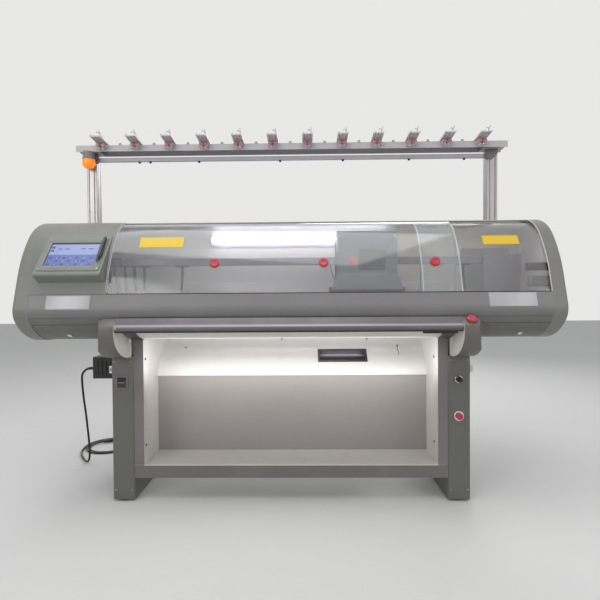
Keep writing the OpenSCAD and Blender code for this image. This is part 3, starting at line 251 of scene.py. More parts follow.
class Sheet:
    """Short ways to place and join nodes in one node tree."""

    def __init__(self, tree):
        self.tree = tree

    def add(self, kind, given=None, **settings):
        """A node with its settings, and with values or sockets for its inputs."""
        node = self.tree.nodes.new(kind)
        for key, value in settings.items():
            setattr(node, key, value)
        for key, value in (given or {}).items():
            self.put(node.inputs[key], value)
        return node

    def put(self, socket, value):
        if isinstance(value, bpy.types.NodeSocket):
            self.tree.links.new(value, socket)
        elif value is not None:
            socket.default_value = value

    def sum(self, operation, a, b=None, c=None, clamp=False):
        return self.add("ShaderNodeMath", {0: a, 1: b, 2: c}, operation=operation, use_clamp=clamp).outputs[0]

    def times(self, a, b, clamp=False):
        return self.sum("MULTIPLY", a, b, clamp=clamp)

    def spread(self, value, a, b, c=0.0, d=1.0):
        return self.add("ShaderNodeMapRange", dict(enumerate((value, a, b, c, d)))).outputs[0]

    def blend(self, factor, a, b, **settings):
        return self.add("ShaderNodeMix", {0: factor, 6: a, 7: b}, data_type="RGBA", **settings).outputs[2]

    def tinted(self, colour, shade):
        return self.blend(1.0, colour, shade, blend_type="MULTIPLY")

    def noise(self, vector, scale, detail=2.0, rough=0.5):
        given = {"Vector": vector, "Scale": scale, "Detail": detail, "Roughness": rough}
        return self.add("ShaderNodeTexNoise", given).outputs["Fac"]

    def where(self):
        return self.add("ShaderNodeTexCoord").outputs["Object"]

    def place(self):
        """X, Y and Z of the point on the piece."""
        return self.add("ShaderNodeSeparateXYZ", {0: self.where()}).outputs

    def look(self):
        """X, Y and Z of the way that the face looks."""
        normal = self.add("ShaderNodeNewGeometry").outputs["Normal"]
        return self.add("ShaderNodeSeparateXYZ", {0: normal}).outputs

    def mixed(self, factor, a, b):
        return self.add("ShaderNodeMixShader", {0: factor, 1: a, 2: b}).outputs[0]


# ---------------- geometry node trees for what repeats
def piece_tree(name, inputs):
    tree = bpy.data.node_groups.new(name, "GeometryNodeTree")
    tree.interface.new_socket("Geometry", in_out="INPUT", socket_type="NodeSocketGeometry")
    for label, kind in inputs:
        tree.interface.new_socket(label, in_out="INPUT", socket_type="NodeSocket" + kind)
    tree.interface.new_socket("Geometry", in_out="OUTPUT", socket_type="NodeSocketGeometry")
    sheet = Sheet(tree)
    return tree, sheet, sheet.add("NodeGroupInput").outputs


def close_tree(s, points, given, **where):
    """The item on each point, as plain mesh with its finish on it."""
    item = s.add("GeometryNodeObjectInfo", {"Object": given["Item"]}).outputs["Geometry"]
    put = s.add("GeometryNodeInstanceOnPoints", {"Points": points, "Instance": item, **where})
    real = s.add("GeometryNodeRealizeInstances", {0: put.outputs[0]})
    coat = s.add("GeometryNodeSetMaterial", {"Geometry": real.outputs[0], "Material": given["Finish"]})
    s.add("NodeGroupOutput", {0: coat.outputs[0]})


def make_row_tree():
    """A straight row of one item, at an even step."""
    wanted = [("Item", "Object"), ("Count", "Int"), ("Start", "Vector"), ("Step", "Vector"), ("Finish", "Material")]
    tree, s, given = piece_tree("row_of_pieces", wanted)
    line = {"Count": given["Count"], "Start Location": given["Start"], "Offset": given["Step"]}
    close_tree(s, s.add("GeometryNodeMeshLine", line, mode="OFFSET").outputs[0], given)
    return tree


def make_spread_tree():
    """One item at each given point, turned to the point's way and spun about it at random."""
    wanted = [("Item", "Object"), ("Spin", "Float"), ("Seed", "Int"), ("Finish", "Material")]
    tree, s, given = piece_tree("pieces_at_points", wanted)
    ways = s.add("GeometryNodeInputNamedAttribute", {"Name": "way"}, data_type="FLOAT_VECTOR")
    turned = s.add("FunctionNodeAlignRotationToVector", {"Vector": ways.outputs["Attribute"]}, axis="Z").outputs[0]
    chance = s.add("FunctionNodeRandomValue", {3: given["Spin"], "Seed": given["Seed"]}, data_type="FLOAT")
    turn = {"Axis": (0, 0, 1), "Angle": chance.outputs[1]}
    about = s.add("FunctionNodeAxisAngleToRotation", turn).outputs[0]
    both = {"Rotation": turned, "Rotate By": about}
    spun = s.add("FunctionNodeRotateRotation", both, rotation_space="LOCAL").outputs[0]
    close_tree(s, given["Geometry"], given, Rotation=spun)
    return tree


ROW, SPREAD = make_row_tree(), make_spread_tree()


def grown(name, tree, values, start, body, angle=32):
    """Runs a tree on a start mesh, keeps its result as plain mesh and lets go of the item."""
    piece = show(name, start)
    modifier = piece.modifiers.new("tree", "NODES")
    modifier.node_group = tree
    for socket in tree.interface.items_tree:
        if socket.in_out == "INPUT" and socket.name in values:
            modifier[socket.identifier] = values[socket.name]
    settle(piece, angle)
    bpy.data.objects.remove(values["Item"])
    fit(piece, body=body)


def row(name, item, count, start, step, finish_name, body="machine", angle=32):
    start, step = [c * MM for c in start], [c * MM for c in step]
    values = {"Item": item, "Count": count, "Start": start, "Step": step, "Finish": M[finish_name]}
    grown(name, ROW, values, bpy.data.meshes.new(name), body, angle)


def spread(name, item, places, seed, finish_name, spin=0.0, body="machine"):
    """Places are (point, way) pairs in millimetres."""
    mesh = bpy.data.meshes.new(name)
    mesh.from_pydata([Vector(p) * MM for p, _ in places], [], [])
    ways = mesh.attributes.new("way", "FLOAT_VECTOR", "POINT")
    for k, (_, way) in enumerate(places):
        ways.data[k].vector = Vector(way).normalized()
    values = {"Item": item, "Spin": spin, "Seed": seed, "Finish": M[finish_name]}
    grown(name, SPREAD, values, mesh, body)


def screws(name, r, h, places, seed, finish_name="polished_steel", body="machine"):
    """Socket screws with low round heads and hexagon holes, each turned as it came to rest."""
    head = [(r, 0), (r, h * 0.55), (r * 0.82, h), (r * 0.42, h), (r * 0.42, h * 0.3), (0, h * 0.3)]
    item = lathe("screw_item", head, sides=12)
    spread(name, item, places, seed, finish_name, math.tau, body)


# ---------------- shader groups and finishes
def shader_group(name, inputs, outputs):
    tree = bpy.data.node_groups.new(name, "ShaderNodeTree")
    for label, value in inputs:
        kind = "NodeSocketVector" if isinstance(value, tuple) else "NodeSocketFloat"
        tree.interface.new_socket(label, in_out="INPUT", socket_type=kind).default_value = value
    for label in outputs:
        tree.interface.new_socket(label, in_out="OUTPUT", socket_type="NodeSocketFloat")
    sheet = Sheet(tree)
    given = sheet.add("NodeGroupInput")
    result = sheet.add("NodeGroupOutput")
    return tree, sheet, given.outputs, result.inputs


def make_coat_grain():
    """Fine sprayed texture and slow shade changes of a coated sheet."""
    tree, s, given, out = shader_group(
        "coat_grain", [("Grain", 700.0), ("Patch", 3.0), ("Depth", 0.06)], ["Height", "Shade"]
    )
    place = s.where()
    s.put(out["Height"], s.noise(place, given["Grain"]))
    slow = s.noise(place, given["Patch"], 3.0, 0.55)
    fine = s.noise(place, s.times(given["Patch"], 11.0))
    both = s.sum("ADD", s.times(slow, 0.7), s.times(fine, 0.3))
    change = s.times(s.sum("SUBTRACT", both, 0.5), s.times(given["Depth"], 4.0))
    s.put(out["Shade"], s.sum("ADD", 1.0, change))
    return tree


def make_lint_dust():
    """Fibre dust that lies on faces that look up."""
    tree, s, given, out = shader_group("lint_dust", [("Scale", 9.0), ("Amount", 0.5)], ["Mask"])
    place = s.where()
    up = s.spread(s.look()["Z"], 0.25, 0.95)
    cloud = s.spread(s.noise(place, given["Scale"], 5.0, 0.62), 0.36, 0.66)
    specks = s.spread(s.noise(place, s.times(given["Scale"], 28.0), 3.0, 0.6), 0.55, 0.72)
    both = s.sum("MAXIMUM", s.times(cloud, 0.75), specks)
    s.put(out["Mask"], s.times(s.times(both, up), given["Amount"], clamp=True))
    return tree


def make_hand_rub():
    """Scuffs and hand marks: broken patches where a finish has been touched and knocked."""
    tree, s, given, out = shader_group("hand_rub", [("Scale", 6.0), ("Amount", 0.4)], ["Mask"])
    place = s.where()
    patch = s.spread(s.noise(place, given["Scale"], 4.0, 0.6), 0.52, 0.7)
    drawn_out = {"Vector": place, "Rotation": (0.3, 0.5, 0.2), "Scale": (1.0, 9.0, 5.0)}
    lines = s.add("ShaderNodeMapping", drawn_out).outputs[0]
    scratch = s.spread(s.noise(lines, s.times(given["Scale"], 9.0), 3.0, 0.7), 0.58, 0.66)
    marked = s.times(patch, s.sum("ADD", 0.35, scratch))
    s.put(out["Mask"], s.times(marked, given["Amount"], clamp=True))
    return tree


def make_rolled_lines():
    """Fine lines along one direction, as on ground, rolled or drawn metal."""
    tree, s, given, out = shader_group(
        "rolled_lines", [("Scale", 40.0), ("Stretch", (0.02, 1.0, 1.0))], ["Height", "Mask"]
    )
    stretched = s.add("ShaderNodeVectorMath", {0: s.where(), 1: given["Stretch"]}, operation="MULTIPLY")
    lines = s.noise(stretched.outputs[0], given["Scale"], 4.0, 0.6)
    s.put(out["Height"], lines)
    s.put(out["Mask"], s.spread(lines, 0.3, 0.7))
    return tree


GROUPS = {
    "coat_grain": make_coat_grain(),
    "lint_dust": make_lint_dust(),
    "hand_rub": make_hand_rub(),
    "rolled_lines": make_rolled_lines(),
}


def use(s, name, **values):
    given = {key.capitalize(): value for key, value in values.items()}
    return s.add("ShaderNodeGroup", given, node_tree=GROUPS[name]).outputs


DUST = paint(196, 192, 184)


def start_material(name):
    material = bpy.data.materials.new(name)
    material.use_nodes = True
    material.node_tree.nodes.clear()
    s = Sheet(material.node_tree)
    shader = s.add("ShaderNodeBsdfPrincipled")
    end = s.add("ShaderNodeOutputMaterial", {"Surface": shader.outputs[0]})
    return material, s, shader, end


def finish(
    name, colour, rough, bump, rub, dust, grain=700.0, patch=3.0, metal=0.0, coat=0.0, worn=None, recolour=None,
    lines=None, stretch=(0.02, 1.0, 1.0),
):
    """A hard finish: base colour with slow shade changes, settled dust, rubbed spots and its own grain."""
    material, s, shader, _ = start_material(name)
    body = use(s, "coat_grain", grain=grain, patch=patch, depth=0.05)
    shown = s.tinted(recolour(s) if recolour else colour, body["Shade"])
    marks = use(s, "hand_rub", scale=6.0, amount=rub)["Mask"]
    worn = worn or tuple(min(1.0, c * 1.35 + 0.02) for c in colour[:3]) + (1.0,)
    shown = s.blend(marks, shown, worn)
    settled = use(s, "lint_dust", scale=9.0, amount=dust)["Mask"]
    s.put(shader.inputs["Base Color"], s.blend(settled, shown, DUST))
    height = body["Height"]
    shine = s.sum("MULTIPLY_ADD", height, 0.12, rough - 0.06)
    if lines:
        drawn = use(s, "rolled_lines", scale=lines, stretch=stretch)
        height = drawn["Height"]
        shine = s.sum("MULTIPLY_ADD", drawn["Mask"], 0.18, rough - 0.09)
    shine = s.sum("MULTIPLY_ADD", marks, 0.15, shine)
    s.put(shader.inputs["Roughness"], s.sum("MULTIPLY_ADD", settled, 0.35, shine, clamp=True))
    shader.inputs["Metallic"].default_value = metal
    shader.inputs["Coat Weight"].default_value = coat
    bend = s.add("ShaderNodeBump", {"Strength": bump, "Distance": MM, "Height": height})
    s.put(shader.inputs["Normal"], bend.outputs[0])
    return material


def clear_finish(name, colour, rough, haze, clear):
    """Thin clear sheet: tinted, with hand haze and dust, and open to the lamps."""
    material, s, shader, end = start_material(name)
    marks = use(s, "hand_rub", scale=3.0, amount=0.5)["Mask"]
    settled = use(s, "lint_dust", scale=5.0, amount=0.35)["Mask"]
    soft = s.sum("ADD", marks, settled, clamp=True)
    s.put(shader.inputs["Base Color"], s.blend(s.times(soft, 0.35), colour, paint(214, 214, 212)))
    s.put(shader.inputs["Roughness"], s.sum("MULTIPLY_ADD", soft, haze, rough))
    shader.inputs["IOR"].default_value = 1.49
    shader.inputs["Transmission Weight"].default_value = clear
    film = s.add("ShaderNodeBsdfTransparent", {"Color": tuple(0.55 + 0.45 * c for c in colour[:3]) + (1.0,)})
    shadow = s.add("ShaderNodeLightPath").outputs["Is Shadow Ray"]
    s.put(end.inputs["Surface"], s.mixed(shadow, shader.outputs[0], film.outputs[0]))
    return material


def glowing(name, colour, strength, rough=0.4):
    material, s, shader, _ = start_material(name)
    shown = s.tinted(colour, use(s, "coat_grain", grain=300.0, patch=8.0, depth=0.03)["Shade"])
    s.put(shader.inputs["Base Color"], shown)
    s.put(shader.inputs["Emission Color"], shown)
    shader.inputs["Emission Strength"].default_value = strength
    shader.inputs["Roughness"].default_value = rough
    return material


def fading(of, axis, start, end, first, second):
    """One colour up to a value of the face's look or place, another from a second value on."""
    def colours(s):
        return s.blend(s.spread(getattr(s, of)()[axis], start, end), paint(*first), paint(*second))
    return colours


# painted shade: white inside, grey on the faces that look to the front, where the columns' white paint lies in
# shadow
front_painted_shaded = fading("look", "Y", -0.7, -0.4, (120, 112, 114), (216, 212, 208))
# painted shade: white on the faces that things are laid on, grey on the others, which stand in shade
sides_painted_shaded = fading("look", "Z", 0.6, 0.8, (112, 107, 105), (206, 202, 198))
# painted shade: darker on the hood's lower curve, which faces down away from the light
hood_painted_shade_below = fading("place", "Z", 0.90, 1.02, (96, 96, 95), (128, 126, 126))


def inside_is_light(s):
    """The rear cover is light inside, creamier towards the right, and keeps its grey outside."""
    look = s.look()
    place = s.place()
    inner = s.blend(s.spread(place["X"], 0.60, 0.63), paint(214, 208, 206), paint(236, 228, 210))
    inward = s.sum("MAXIMUM", s.spread(look["Y"], -0.4, -0.6), s.spread(look["Z"], -0.4, -0.6))
    return s.blend(inward, paint(176, 176, 175), inner)


def inner_side_painted_lit(outer, inner):
    """Painted light: faces that look to the middle of the machine have one colour, lit up as by the lamp inside,
    the others another.
    """
    def colours(s):
        look = s.look()
        place = s.place()
        toward = s.times(look["X"], s.sum("SIGN", place["X"]))
        return s.blend(s.spread(toward, -0.5, -0.7), outer, inner)
    return colours


def bar_painted_highlight(s):
    """Painted highlight: a bright line along the bar's nose, with painted shade below it and grey above."""
    place = s.place()
    upper = s.blend(s.spread(place["Z"], 0.922, 0.928), paint(170, 168, 173), paint(106, 101, 106))
    return s.blend(s.spread(place["Z"], 0.914, 0.918), paint(102, 97, 99), upper)


def inner_is_light(outer, inner):
    """A hood sheet is light on the faces that look to the middle of the hood."""
    def colours(s):
        look = s.look()
        place = s.place()
        out = s.times(look["X"], s.times(place["X"], 0.3))
        out = s.sum("MULTIPLY_ADD", look["Y"], s.sum("ADD", place["Y"], 0.19), out)
        out = s.sum("MULTIPLY_ADD", look["Z"], s.sum("SUBTRACT", place["Z"], 1.15), out)
        return s.blend(s.spread(out, 0.004, -0.004), outer, inner)
    return colours


# what is usual on a sprayed coat, then each coat's colour, roughness and what differs from that
COAT = {"grain": 800, "bump": 0.06, "rub": 0.3, "dust": 0.25}
COATS = {
    # arm_paint: painted light, the inner sides are white as the lamp inside lights them
    "arm_paint": (
        (104, 102, 98), 0.44,
        dict(grain=900, bump=0.08, recolour=inner_side_painted_lit(paint(104, 102, 98), paint(226, 222, 216))),
    ),
    "inner_paint": ((206, 200, 196), 0.55, dict(bump=0.05, dust=0.4)),
    "carriage_paint": ((92, 91, 97), 0.4, dict(grain=900, rub=0.35, dust=0.3)),
    "housing_paint": ((124, 127, 120), 0.46, dict(grain=1000, bump=0.08)),
    "frame_paint": ((178, 172, 168), 0.5, dict(dust=0.3)),
    "bracket_paint": ((112, 106, 108), 0.5, dict(grain=700, bump=0.08, rub=0.35, dust=0.3)),
    "cream_paint": ((240, 232, 216), 0.55, dict(bump=0.05, rub=0.2, dust=0.2)),
    "beam_paint": ((184, 180, 183), 0.42, dict(bump=0.05, dust=0.3, worn=paint(150, 146, 146))),
    "unit_paint": ((198, 190, 193), 0.42, dict(grain=700, dust=0.3)),
    "pale_trim": ((206, 204, 200), 0.4, dict(bump=0.04, dust=0.2)),
    "seam_grey": ((120, 116, 112), 0.6, dict(grain=700, bump=0.05, rub=0.2)),
    "pink_disc": ((196, 128, 128), 0.35, dict(grain=500, bump=0.03, dust=0.2, coat=0.3)),
    # the lamp tray's lilac is painted light: the lamp's glow on the tray
    "tray_paint": ((176, 175, 194), 0.5, dict(bump=0.04, rub=0.2)),
    # the legs' colour is painted shade: their light grey paint darkened to how it looks in shadow
    "leg_paint": ((102, 102, 97), 0.46, dict(grain=900, bump=0.08, dust=0.3)),
    "hood_paint": ((128, 128, 128), 0.42, dict(rub=0.25, recolour=hood_painted_shade_below)),
    "head_paint": (
        (120, 120, 115), 0.42, dict(rub=0.25, recolour=inner_is_light(paint(120, 120, 115), paint(214, 208, 206)))
    ),
    "cap_paint": (
        (122, 122, 119), 0.42, dict(rub=0.25, recolour=inner_is_light(paint(122, 122, 119), paint(222, 212, 212)))
    ),
    "cabinet_paint": ((222, 219, 215), 0.5, dict(grain=900, rub=0.2, dust=0.2, worn=paint(176, 172, 166))),
    # the back panel's colour is painted shade: the cabinet's white paint darkened as it stands in shadow
    "back_paint": ((156, 150, 147), 0.55, dict(grain=900, worn=paint(150, 144, 140))),
    "column_paint": (
        (170, 168, 166), 0.5, dict(grain=900, recolour=front_painted_shaded, worn=paint(150, 146, 142), rub=0.25)
    ),
    "skirt_paint": ((112, 107, 105), 0.5, dict(grain=900, rub=0.5, recolour=sides_painted_shaded)),
    "roof_paint": ((176, 176, 175), 0.48, dict(dust=0.4, recolour=inside_is_light, rub=0.25)),
    "box_paint": ((176, 176, 174), 0.48, dict(dust=0.5, rub=0.25)),
    "dark_panel": ((58, 58, 60), 0.45, dict(bump=0.08, rub=0.4)),
    "cast_iron": ((74, 78, 80), 0.62, dict(metal=0.3, grain=260, bump=0.35, patch=6, dust=0.6, rub=0.4)),
    "white_coat": ((214, 213, 210), 0.4, dict(bump=0.05, rub=0.2, dust=0.35, worn=paint(170, 168, 164))),
    "black_plastic": ((30, 30, 32), 0.5, dict(grain=1400, bump=0.12, rub=0.35, dust=0.5)),
    "grey_plastic": ((126, 126, 124), 0.48, dict(grain=1400, bump=0.1, dust=0.3)),
    "red_plastic": (
        (186, 40, 56), 0.3, dict(grain=600, bump=0.02, rub=0.25, dust=0.15, coat=0.4, worn=paint(214, 84, 80))
    ),
    "rubber": ((26, 26, 27), 0.62, dict(grain=1200, bump=0.15, rub=0.2, dust=0.5)),
    "foam": ((44, 42, 42), 0.9, dict(grain=380, bump=0.9, patch=14, rub=0.2, dust=0.4)),
    "motor_paint": ((40, 42, 46), 0.4, dict(metal=0.3, grain=500, bump=0.1, dust=0.4, rub=0.25)),
    "yellow_field": ((228, 192, 36), 0.4, dict(grain=900, bump=0.02, rub=0.35, dust=0.1, worn=paint(206, 182, 70))),
    "ceramic_white": ((232, 230, 226), 0.2, dict(grain=500, bump=0.02, rub=0.1, dust=0.1, coat=0.6)),
    "screen_glass": ((16, 18, 22), 0.08, dict(grain=60, bump=0.01, rub=0.2, dust=0.1, coat=0.8)),
}
# the same for drawn and ground metals
DRAWN = {"lines": 60, "bump": 0.03, "rub": 0.3, "dust": 0.3}
METALS = {
    "bar_paint": ((118, 113, 117), 0.42, dict(metal=0.1, rub=0.4, dust=0.2, recolour=bar_painted_highlight)),
    "spring_steel": ((150, 148, 148), 0.28, dict(metal=1.0, lines=50, bump=0.02, rub=0.2, dust=0.2)),
    "feeder_rail_grey": ((112, 107, 112), 0.4, dict(metal=0.3, rub=0.4, dust=0.4)),
    "rail_satin": ((186, 182, 189), 0.55, dict(metal=0.25)),
    "slot_lilac": ((116, 111, 126), 0.4, dict(metal=0.4, dust=0.25)),
    "bed_steel": (
        (150, 153, 156), 0.34, dict(metal=0.9, lines=90, stretch=(1.0, 0.05, 0.05), bump=0.05, dust=0.35)
    ),
    "polished_steel": ((196, 197, 198), 0.22, dict(metal=1.0, bump=0.02, dust=0.15)),
    "rail_steel": ((42, 42, 47), 0.42, dict(metal=0.3, rub=0.5, dust=0.5)),
    "aluminium": ((176, 177, 180), 0.36, dict(metal=0.85, lines=80)),
    "bare_plate": ((178, 177, 180), 0.4, dict(metal=0.3, lines=120, bump=0.02, rub=0.4, dust=0.0)),
    "post_aluminium": ((168, 164, 165), 0.38, dict(metal=0.7, lines=80, stretch=(1.0, 1.0, 0.02), dust=0.25)),
    "chrome": ((214, 214, 214), 0.12, dict(metal=1.0, lines=30, bump=0.01, rub=0.2, dust=0.05)),
}
# a colour, a strength and for some a roughness
GLOWING = {
    "screen_pale": ((124, 138, 180), 0.3, 0.2),
    "screen_blue": ((70, 90, 152), 0.3, 0.2),
    "screen_mark": ((52, 66, 112), 0.2, 0.25),
    "screen_icon": ((116, 138, 194), 0.3, 0.2),
    "amber_lens": ((234, 132, 34), 0.55, 0.24),
    "lamp_glow": ((250, 250, 255), 9.0),
}
# a colour, a roughness, a haze and how clear the sheet is
CLEAR = {
    "smoked_sheet": ((240, 242, 244), 0.07, 0.2, 0.95),
    "edge_sheet": ((236, 237, 240), 0.35, 0.3, 0.7),
}
M = {}
for usual, table in ((COAT, COATS), (DRAWN, METALS)):
    for name, (rgb, rough, extra) in table.items():
        M[name] = finish(name, paint(*rgb), rough, **{**usual, **extra})
for name, (rgb, *rest) in GLOWING.items():
    M[name] = glowing(name, paint(*rgb), *rest)
for name, (rgb, *rest) in CLEAR.items():
    M[name] = clear_finish(name, paint(*rgb), *rest)

NODE_FINISH = {
    "leg_paint": "left_leg right_leg",
    "arm_paint": "left_arm right_arm",
    "rubber": "levelling_feet takedown_roller pinch_roller drive_belt mains_cord mains_plug",
    "skirt_paint": "shelf_tray",
    "column_paint": "side_walls",
    "back_paint": "back_panel",
    "cabinet_paint": "chute_panel",
    "box_paint": "control_box",
    "cast_iron": "bed_base cam_boxes",
    "frame_paint": "end_frames",
    "bed_steel": "front_needle_bed rear_needle_bed",
    "hood_paint": "front_cover",
    "roof_paint": "rear_cover",
    "head_paint": "left_head_cover",
    "cap_paint": "right_end_cover",
    "housing_paint": "screen_housing",
    "screen_glass": "touch_screen",
    "aluminium": "cover_tracks drive_pulley idler_pulley",
    "smoked_sheet": "left_cover right_cover",
    "red_plastic": "cover_knobs carriage_knob stop_button leg_button",
    "carriage_paint": "carriage_bridge",
    "dark_panel": "carriage_cover",
    "bracket_paint": "rail_brackets switch_plate",
    "feeder_rail_grey": "feeder_rails",
    "rail_steel": "feeder_1 feeder_2 feeder_3 feeder_4 feeder_5 feeder_6",
    "lamp_glow": "led_tube",
    "polished_steel": "roller_bearings",
    "motor_paint": "gear_motors",
    "bar_paint": "operating_bar",
    "black_plastic": "leg_knob power_rocker power_box",
    "chrome": "side_hooks",
    "white_coat": "yarn_table",
    "post_aluminium": "yarn_posts",
    "beam_paint": "yarn_beam",
    "rail_satin": "guide_rail",
    "unit_paint": "tension_units",
    "amber_lens": "signal_lamp",
}
for label, names in NODE_FINISH.items():
    for name in names.split():
        coated(nodes[name], M[label])

# ---------------- mains lead
CORD_R = 6.0
GLAND = Vector((-1150, 40, 0))
RELIEF_L, RELIEF_R, RELIEF_FALL, RELIEF_RIB = 48.0, 9.8, 2.9, 0.9
LEAD = [  # the hanging part, measured from the gland
    (-0.3, 0, 640), (-24, 0, 640), (-46, 0, 636), (-65, 1, 623), (-77.6, 3, 604), (-82.5, 7, 582), (-85, 14, 545),
    (-87, 32, 460), (-87, 54, 370), (-88, 74, 280), (-91, 96, 190), (-100, 122, 112), (-119, 156, 54),
    (-150, 198, 18), (-190, 244, 7), (-232, 298, 7), (-268, 354, 7), (-294, 410, 7),
]


def cord_route():
    """The hanging part, two turns of a flat coil, and the bend that leads into the plug."""
    centre, start = GLAND + Vector((-154, 526, 7)), math.radians(200)
    radius, pitch, turns, per_turn = 165, 18, 2, 12
    coil = []
    for k in range(turns * per_turn + 1):
        a, r = start - math.tau * k / per_turn, radius - pitch * k / per_turn
        coil.append(centre + Vector((r * math.cos(a), r * math.sin(a), 0)))
    way = Vector((math.sin(start), -math.cos(start), 0))
    inward = Vector((-math.cos(start), -math.sin(start), 0))
    bend = []
    for a in (36, 63, 90):
        t = math.radians(a)
        bend.append(coil[-1] + 80 * (math.sin(t) * way + (1 - math.cos(t)) * inward) + Vector((0, 0, 8 * a / 90)))
    return [GLAND + Vector(p) for p in LEAD] + coil + bend


def make_cord():
    line = curved(cord_route(), 6)
    curve = bpy.data.curves.new("mains_lead", "CURVE")
    curve.dimensions = "3D"
    spline = curve.splines.new("POLY")
    spline.points.add(len(line) - 1)
    for point, place in zip(spline.points, line):
        point.co = (*(place * MM), 1.0)
    curve.bevel_depth = CORD_R * MM
    curve.bevel_resolution = 3
    curve.use_fill_caps = True
    lead = bpy.data.objects.new("mains_lead", curve)
    scene.collection.objects.link(lead)
    curve.materials.append(M["rubber"])
    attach(lead, "machine")
    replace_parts(lead, "mains_cord")
    return line


cord_line = make_cord()
relief, run = [cord_line[0]], 0.0
for a, b in zip(cord_line, cord_line[1:]):
    run += (b - a).length
    if run > RELIEF_L:
        break
    relief += [(a + b) / 2, b]
last = len(relief) - 1
taper = [RELIEF_R - RELIEF_FALL * k / last - (RELIEF_RIB if k % 2 else 0) for k in range(last + 1)]
fit(wire("strain_relief", relief, sides=18, radii=taper), "rubber")


# ---------------- side profile of the hood, as [y, z]
def ring(c, r, start, end, n):
    return [
        (c[0] + r * math.cos(a), c[1] + r * math.sin(a))
        for a in (math.radians(start + (end - start) * i / n) for i in range(1, n + 1))
    ]


def lean_way(lean):
    return (-math.cos(math.radians(lean)), math.sin(math.radians(lean)))


def go(p, way, k):
    return (p[0] + way[0] * k, p[1] + way[1] * k)


END_X, END_W, HEAD_X = 1250.0, 75.0, -880.0
BASE_Z, TOP_Z, SILL_Z, NOSE_Z = 838.0, 1455.0, 1071.0, 992.0
FRONT_Y, NOSE_Y, BACK_Y, BED_Y, BED_Z = -478.0, -437.0, 60.0, -140.0, 1062.0
LEAN, BROW_LEAN, UNDER_LEAN, BACK_R = 15.0, 35.0, 38.0, 80.0
NOSE_R, BROW_R = 100.0, 667.0
NOSE_C = (NOSE_Y + NOSE_R, NOSE_Z)
UP = (math.sin(math.radians(LEAN)), math.cos(math.radians(LEAN)))
IN = (math.cos(math.radians(LEAN)), -math.sin(math.radians(LEAN)))
FLAT_START = go(NOSE_C, lean_way(LEAN), NOSE_R)
FLAT_END = go(FLAT_START, UP, 137.0)
BROW_C = go(FLAT_END, IN, BROW_R)
BROW_END = go(BROW_C, lean_way(BROW_LEAN), BROW_R)
TOP_R = (TOP_Z - BROW_END[1]) / (1 - math.sin(math.radians(BROW_LEAN)))
TOP_C = go(BROW_END, lean_way(BROW_LEAN), -TOP_R)
UNDER_START = go(NOSE_C, lean_way(-UNDER_LEAN), NOSE_R)
UNDER_R = (UNDER_START[1] - BASE_Z) / (1 - math.sin(math.radians(UNDER_LEAN)))
UNDER_C = go(UNDER_START, lean_way(-UNDER_LEAN), -UNDER_R)


def flat_s(z):
    return (z - FLAT_START[1]) / math.cos(math.radians(LEAN))


SILL_S = flat_s(SILL_Z)


def flat_point(s, d):
    return go(go(FLAT_START, UP, s), IN, d)


def notched(c, r, start, end, n, notches):
    """An arc with square grooves, 4 mm wide and 2 mm deep, at some angles, from high to low."""
    line, at, half = [], start, math.degrees(2.0 / r)
    for notch in notches:
        line += ring(c, r, at, notch + half, 4)
        line += ring(c, r - 2, notch + half * 1.01, notch + half, 1)
        line += ring(c, r - 2, notch + half, notch - half, 1)
        line += ring(c, r, notch - half * 0.99, notch - half, 1)
        at = notch - half
    return line + ring(c, r, at, end, n)


def under_line(d, grooves=False):
    """From the flat underside over the lower curve and the nose, with a groove on each where asked."""
    low = [220.0] if grooves else []
    high = [180 + 21.0] if grooves else []
    return (
        [(UNDER_C[0], BASE_Z + d)]
        + notched(UNDER_C, UNDER_R - d, 270, 180 + UNDER_LEAN, 14, low)
        + notched(NOSE_C, NOSE_R - d, 180 + UNDER_LEAN, 180 - LEAN, 18, high)
    )


def brow_line(d):
    return ring(BROW_C, BROW_R - d, 180 - LEAN, 180 - BROW_LEAN, 14)


def top_line(d, lean):
    return ring(TOP_C, TOP_R - d, 180 - BROW_LEAN, 180 - lean, 22)


def front_line(d, s, lean):
    return [flat_point(s, d), go(FLAT_END, IN, d)] + brow_line(d) + top_line(d, lean)


def hood_strip(d, thick, s, lean):
    """A sheet's profile, d inside the hood's outer surface, from a place on the flat front up to a lean."""
    return front_line(d, s, lean) + front_line(d + thick, s, lean)[::-1]


def hood_outline(d):
    r = max(BACK_R - d, 1)
    corner = (BACK_Y - d - r, TOP_Z - d - r)
    return (
        [(BACK_Y - d, BASE_Z + d)] + under_line(d) + [flat_point(SILL_S, d), go(FLAT_END, IN, d)]
        + brow_line(d) + top_line(d, 90) + [(BACK_Y - d - r, TOP_Z - d)] + ring(corner, r, 90, 0, 10)
    )


# ---------------- hood covers
EDGE_R, SHELL_T, EDGE_STEPS = 20.0, 3.0, 14


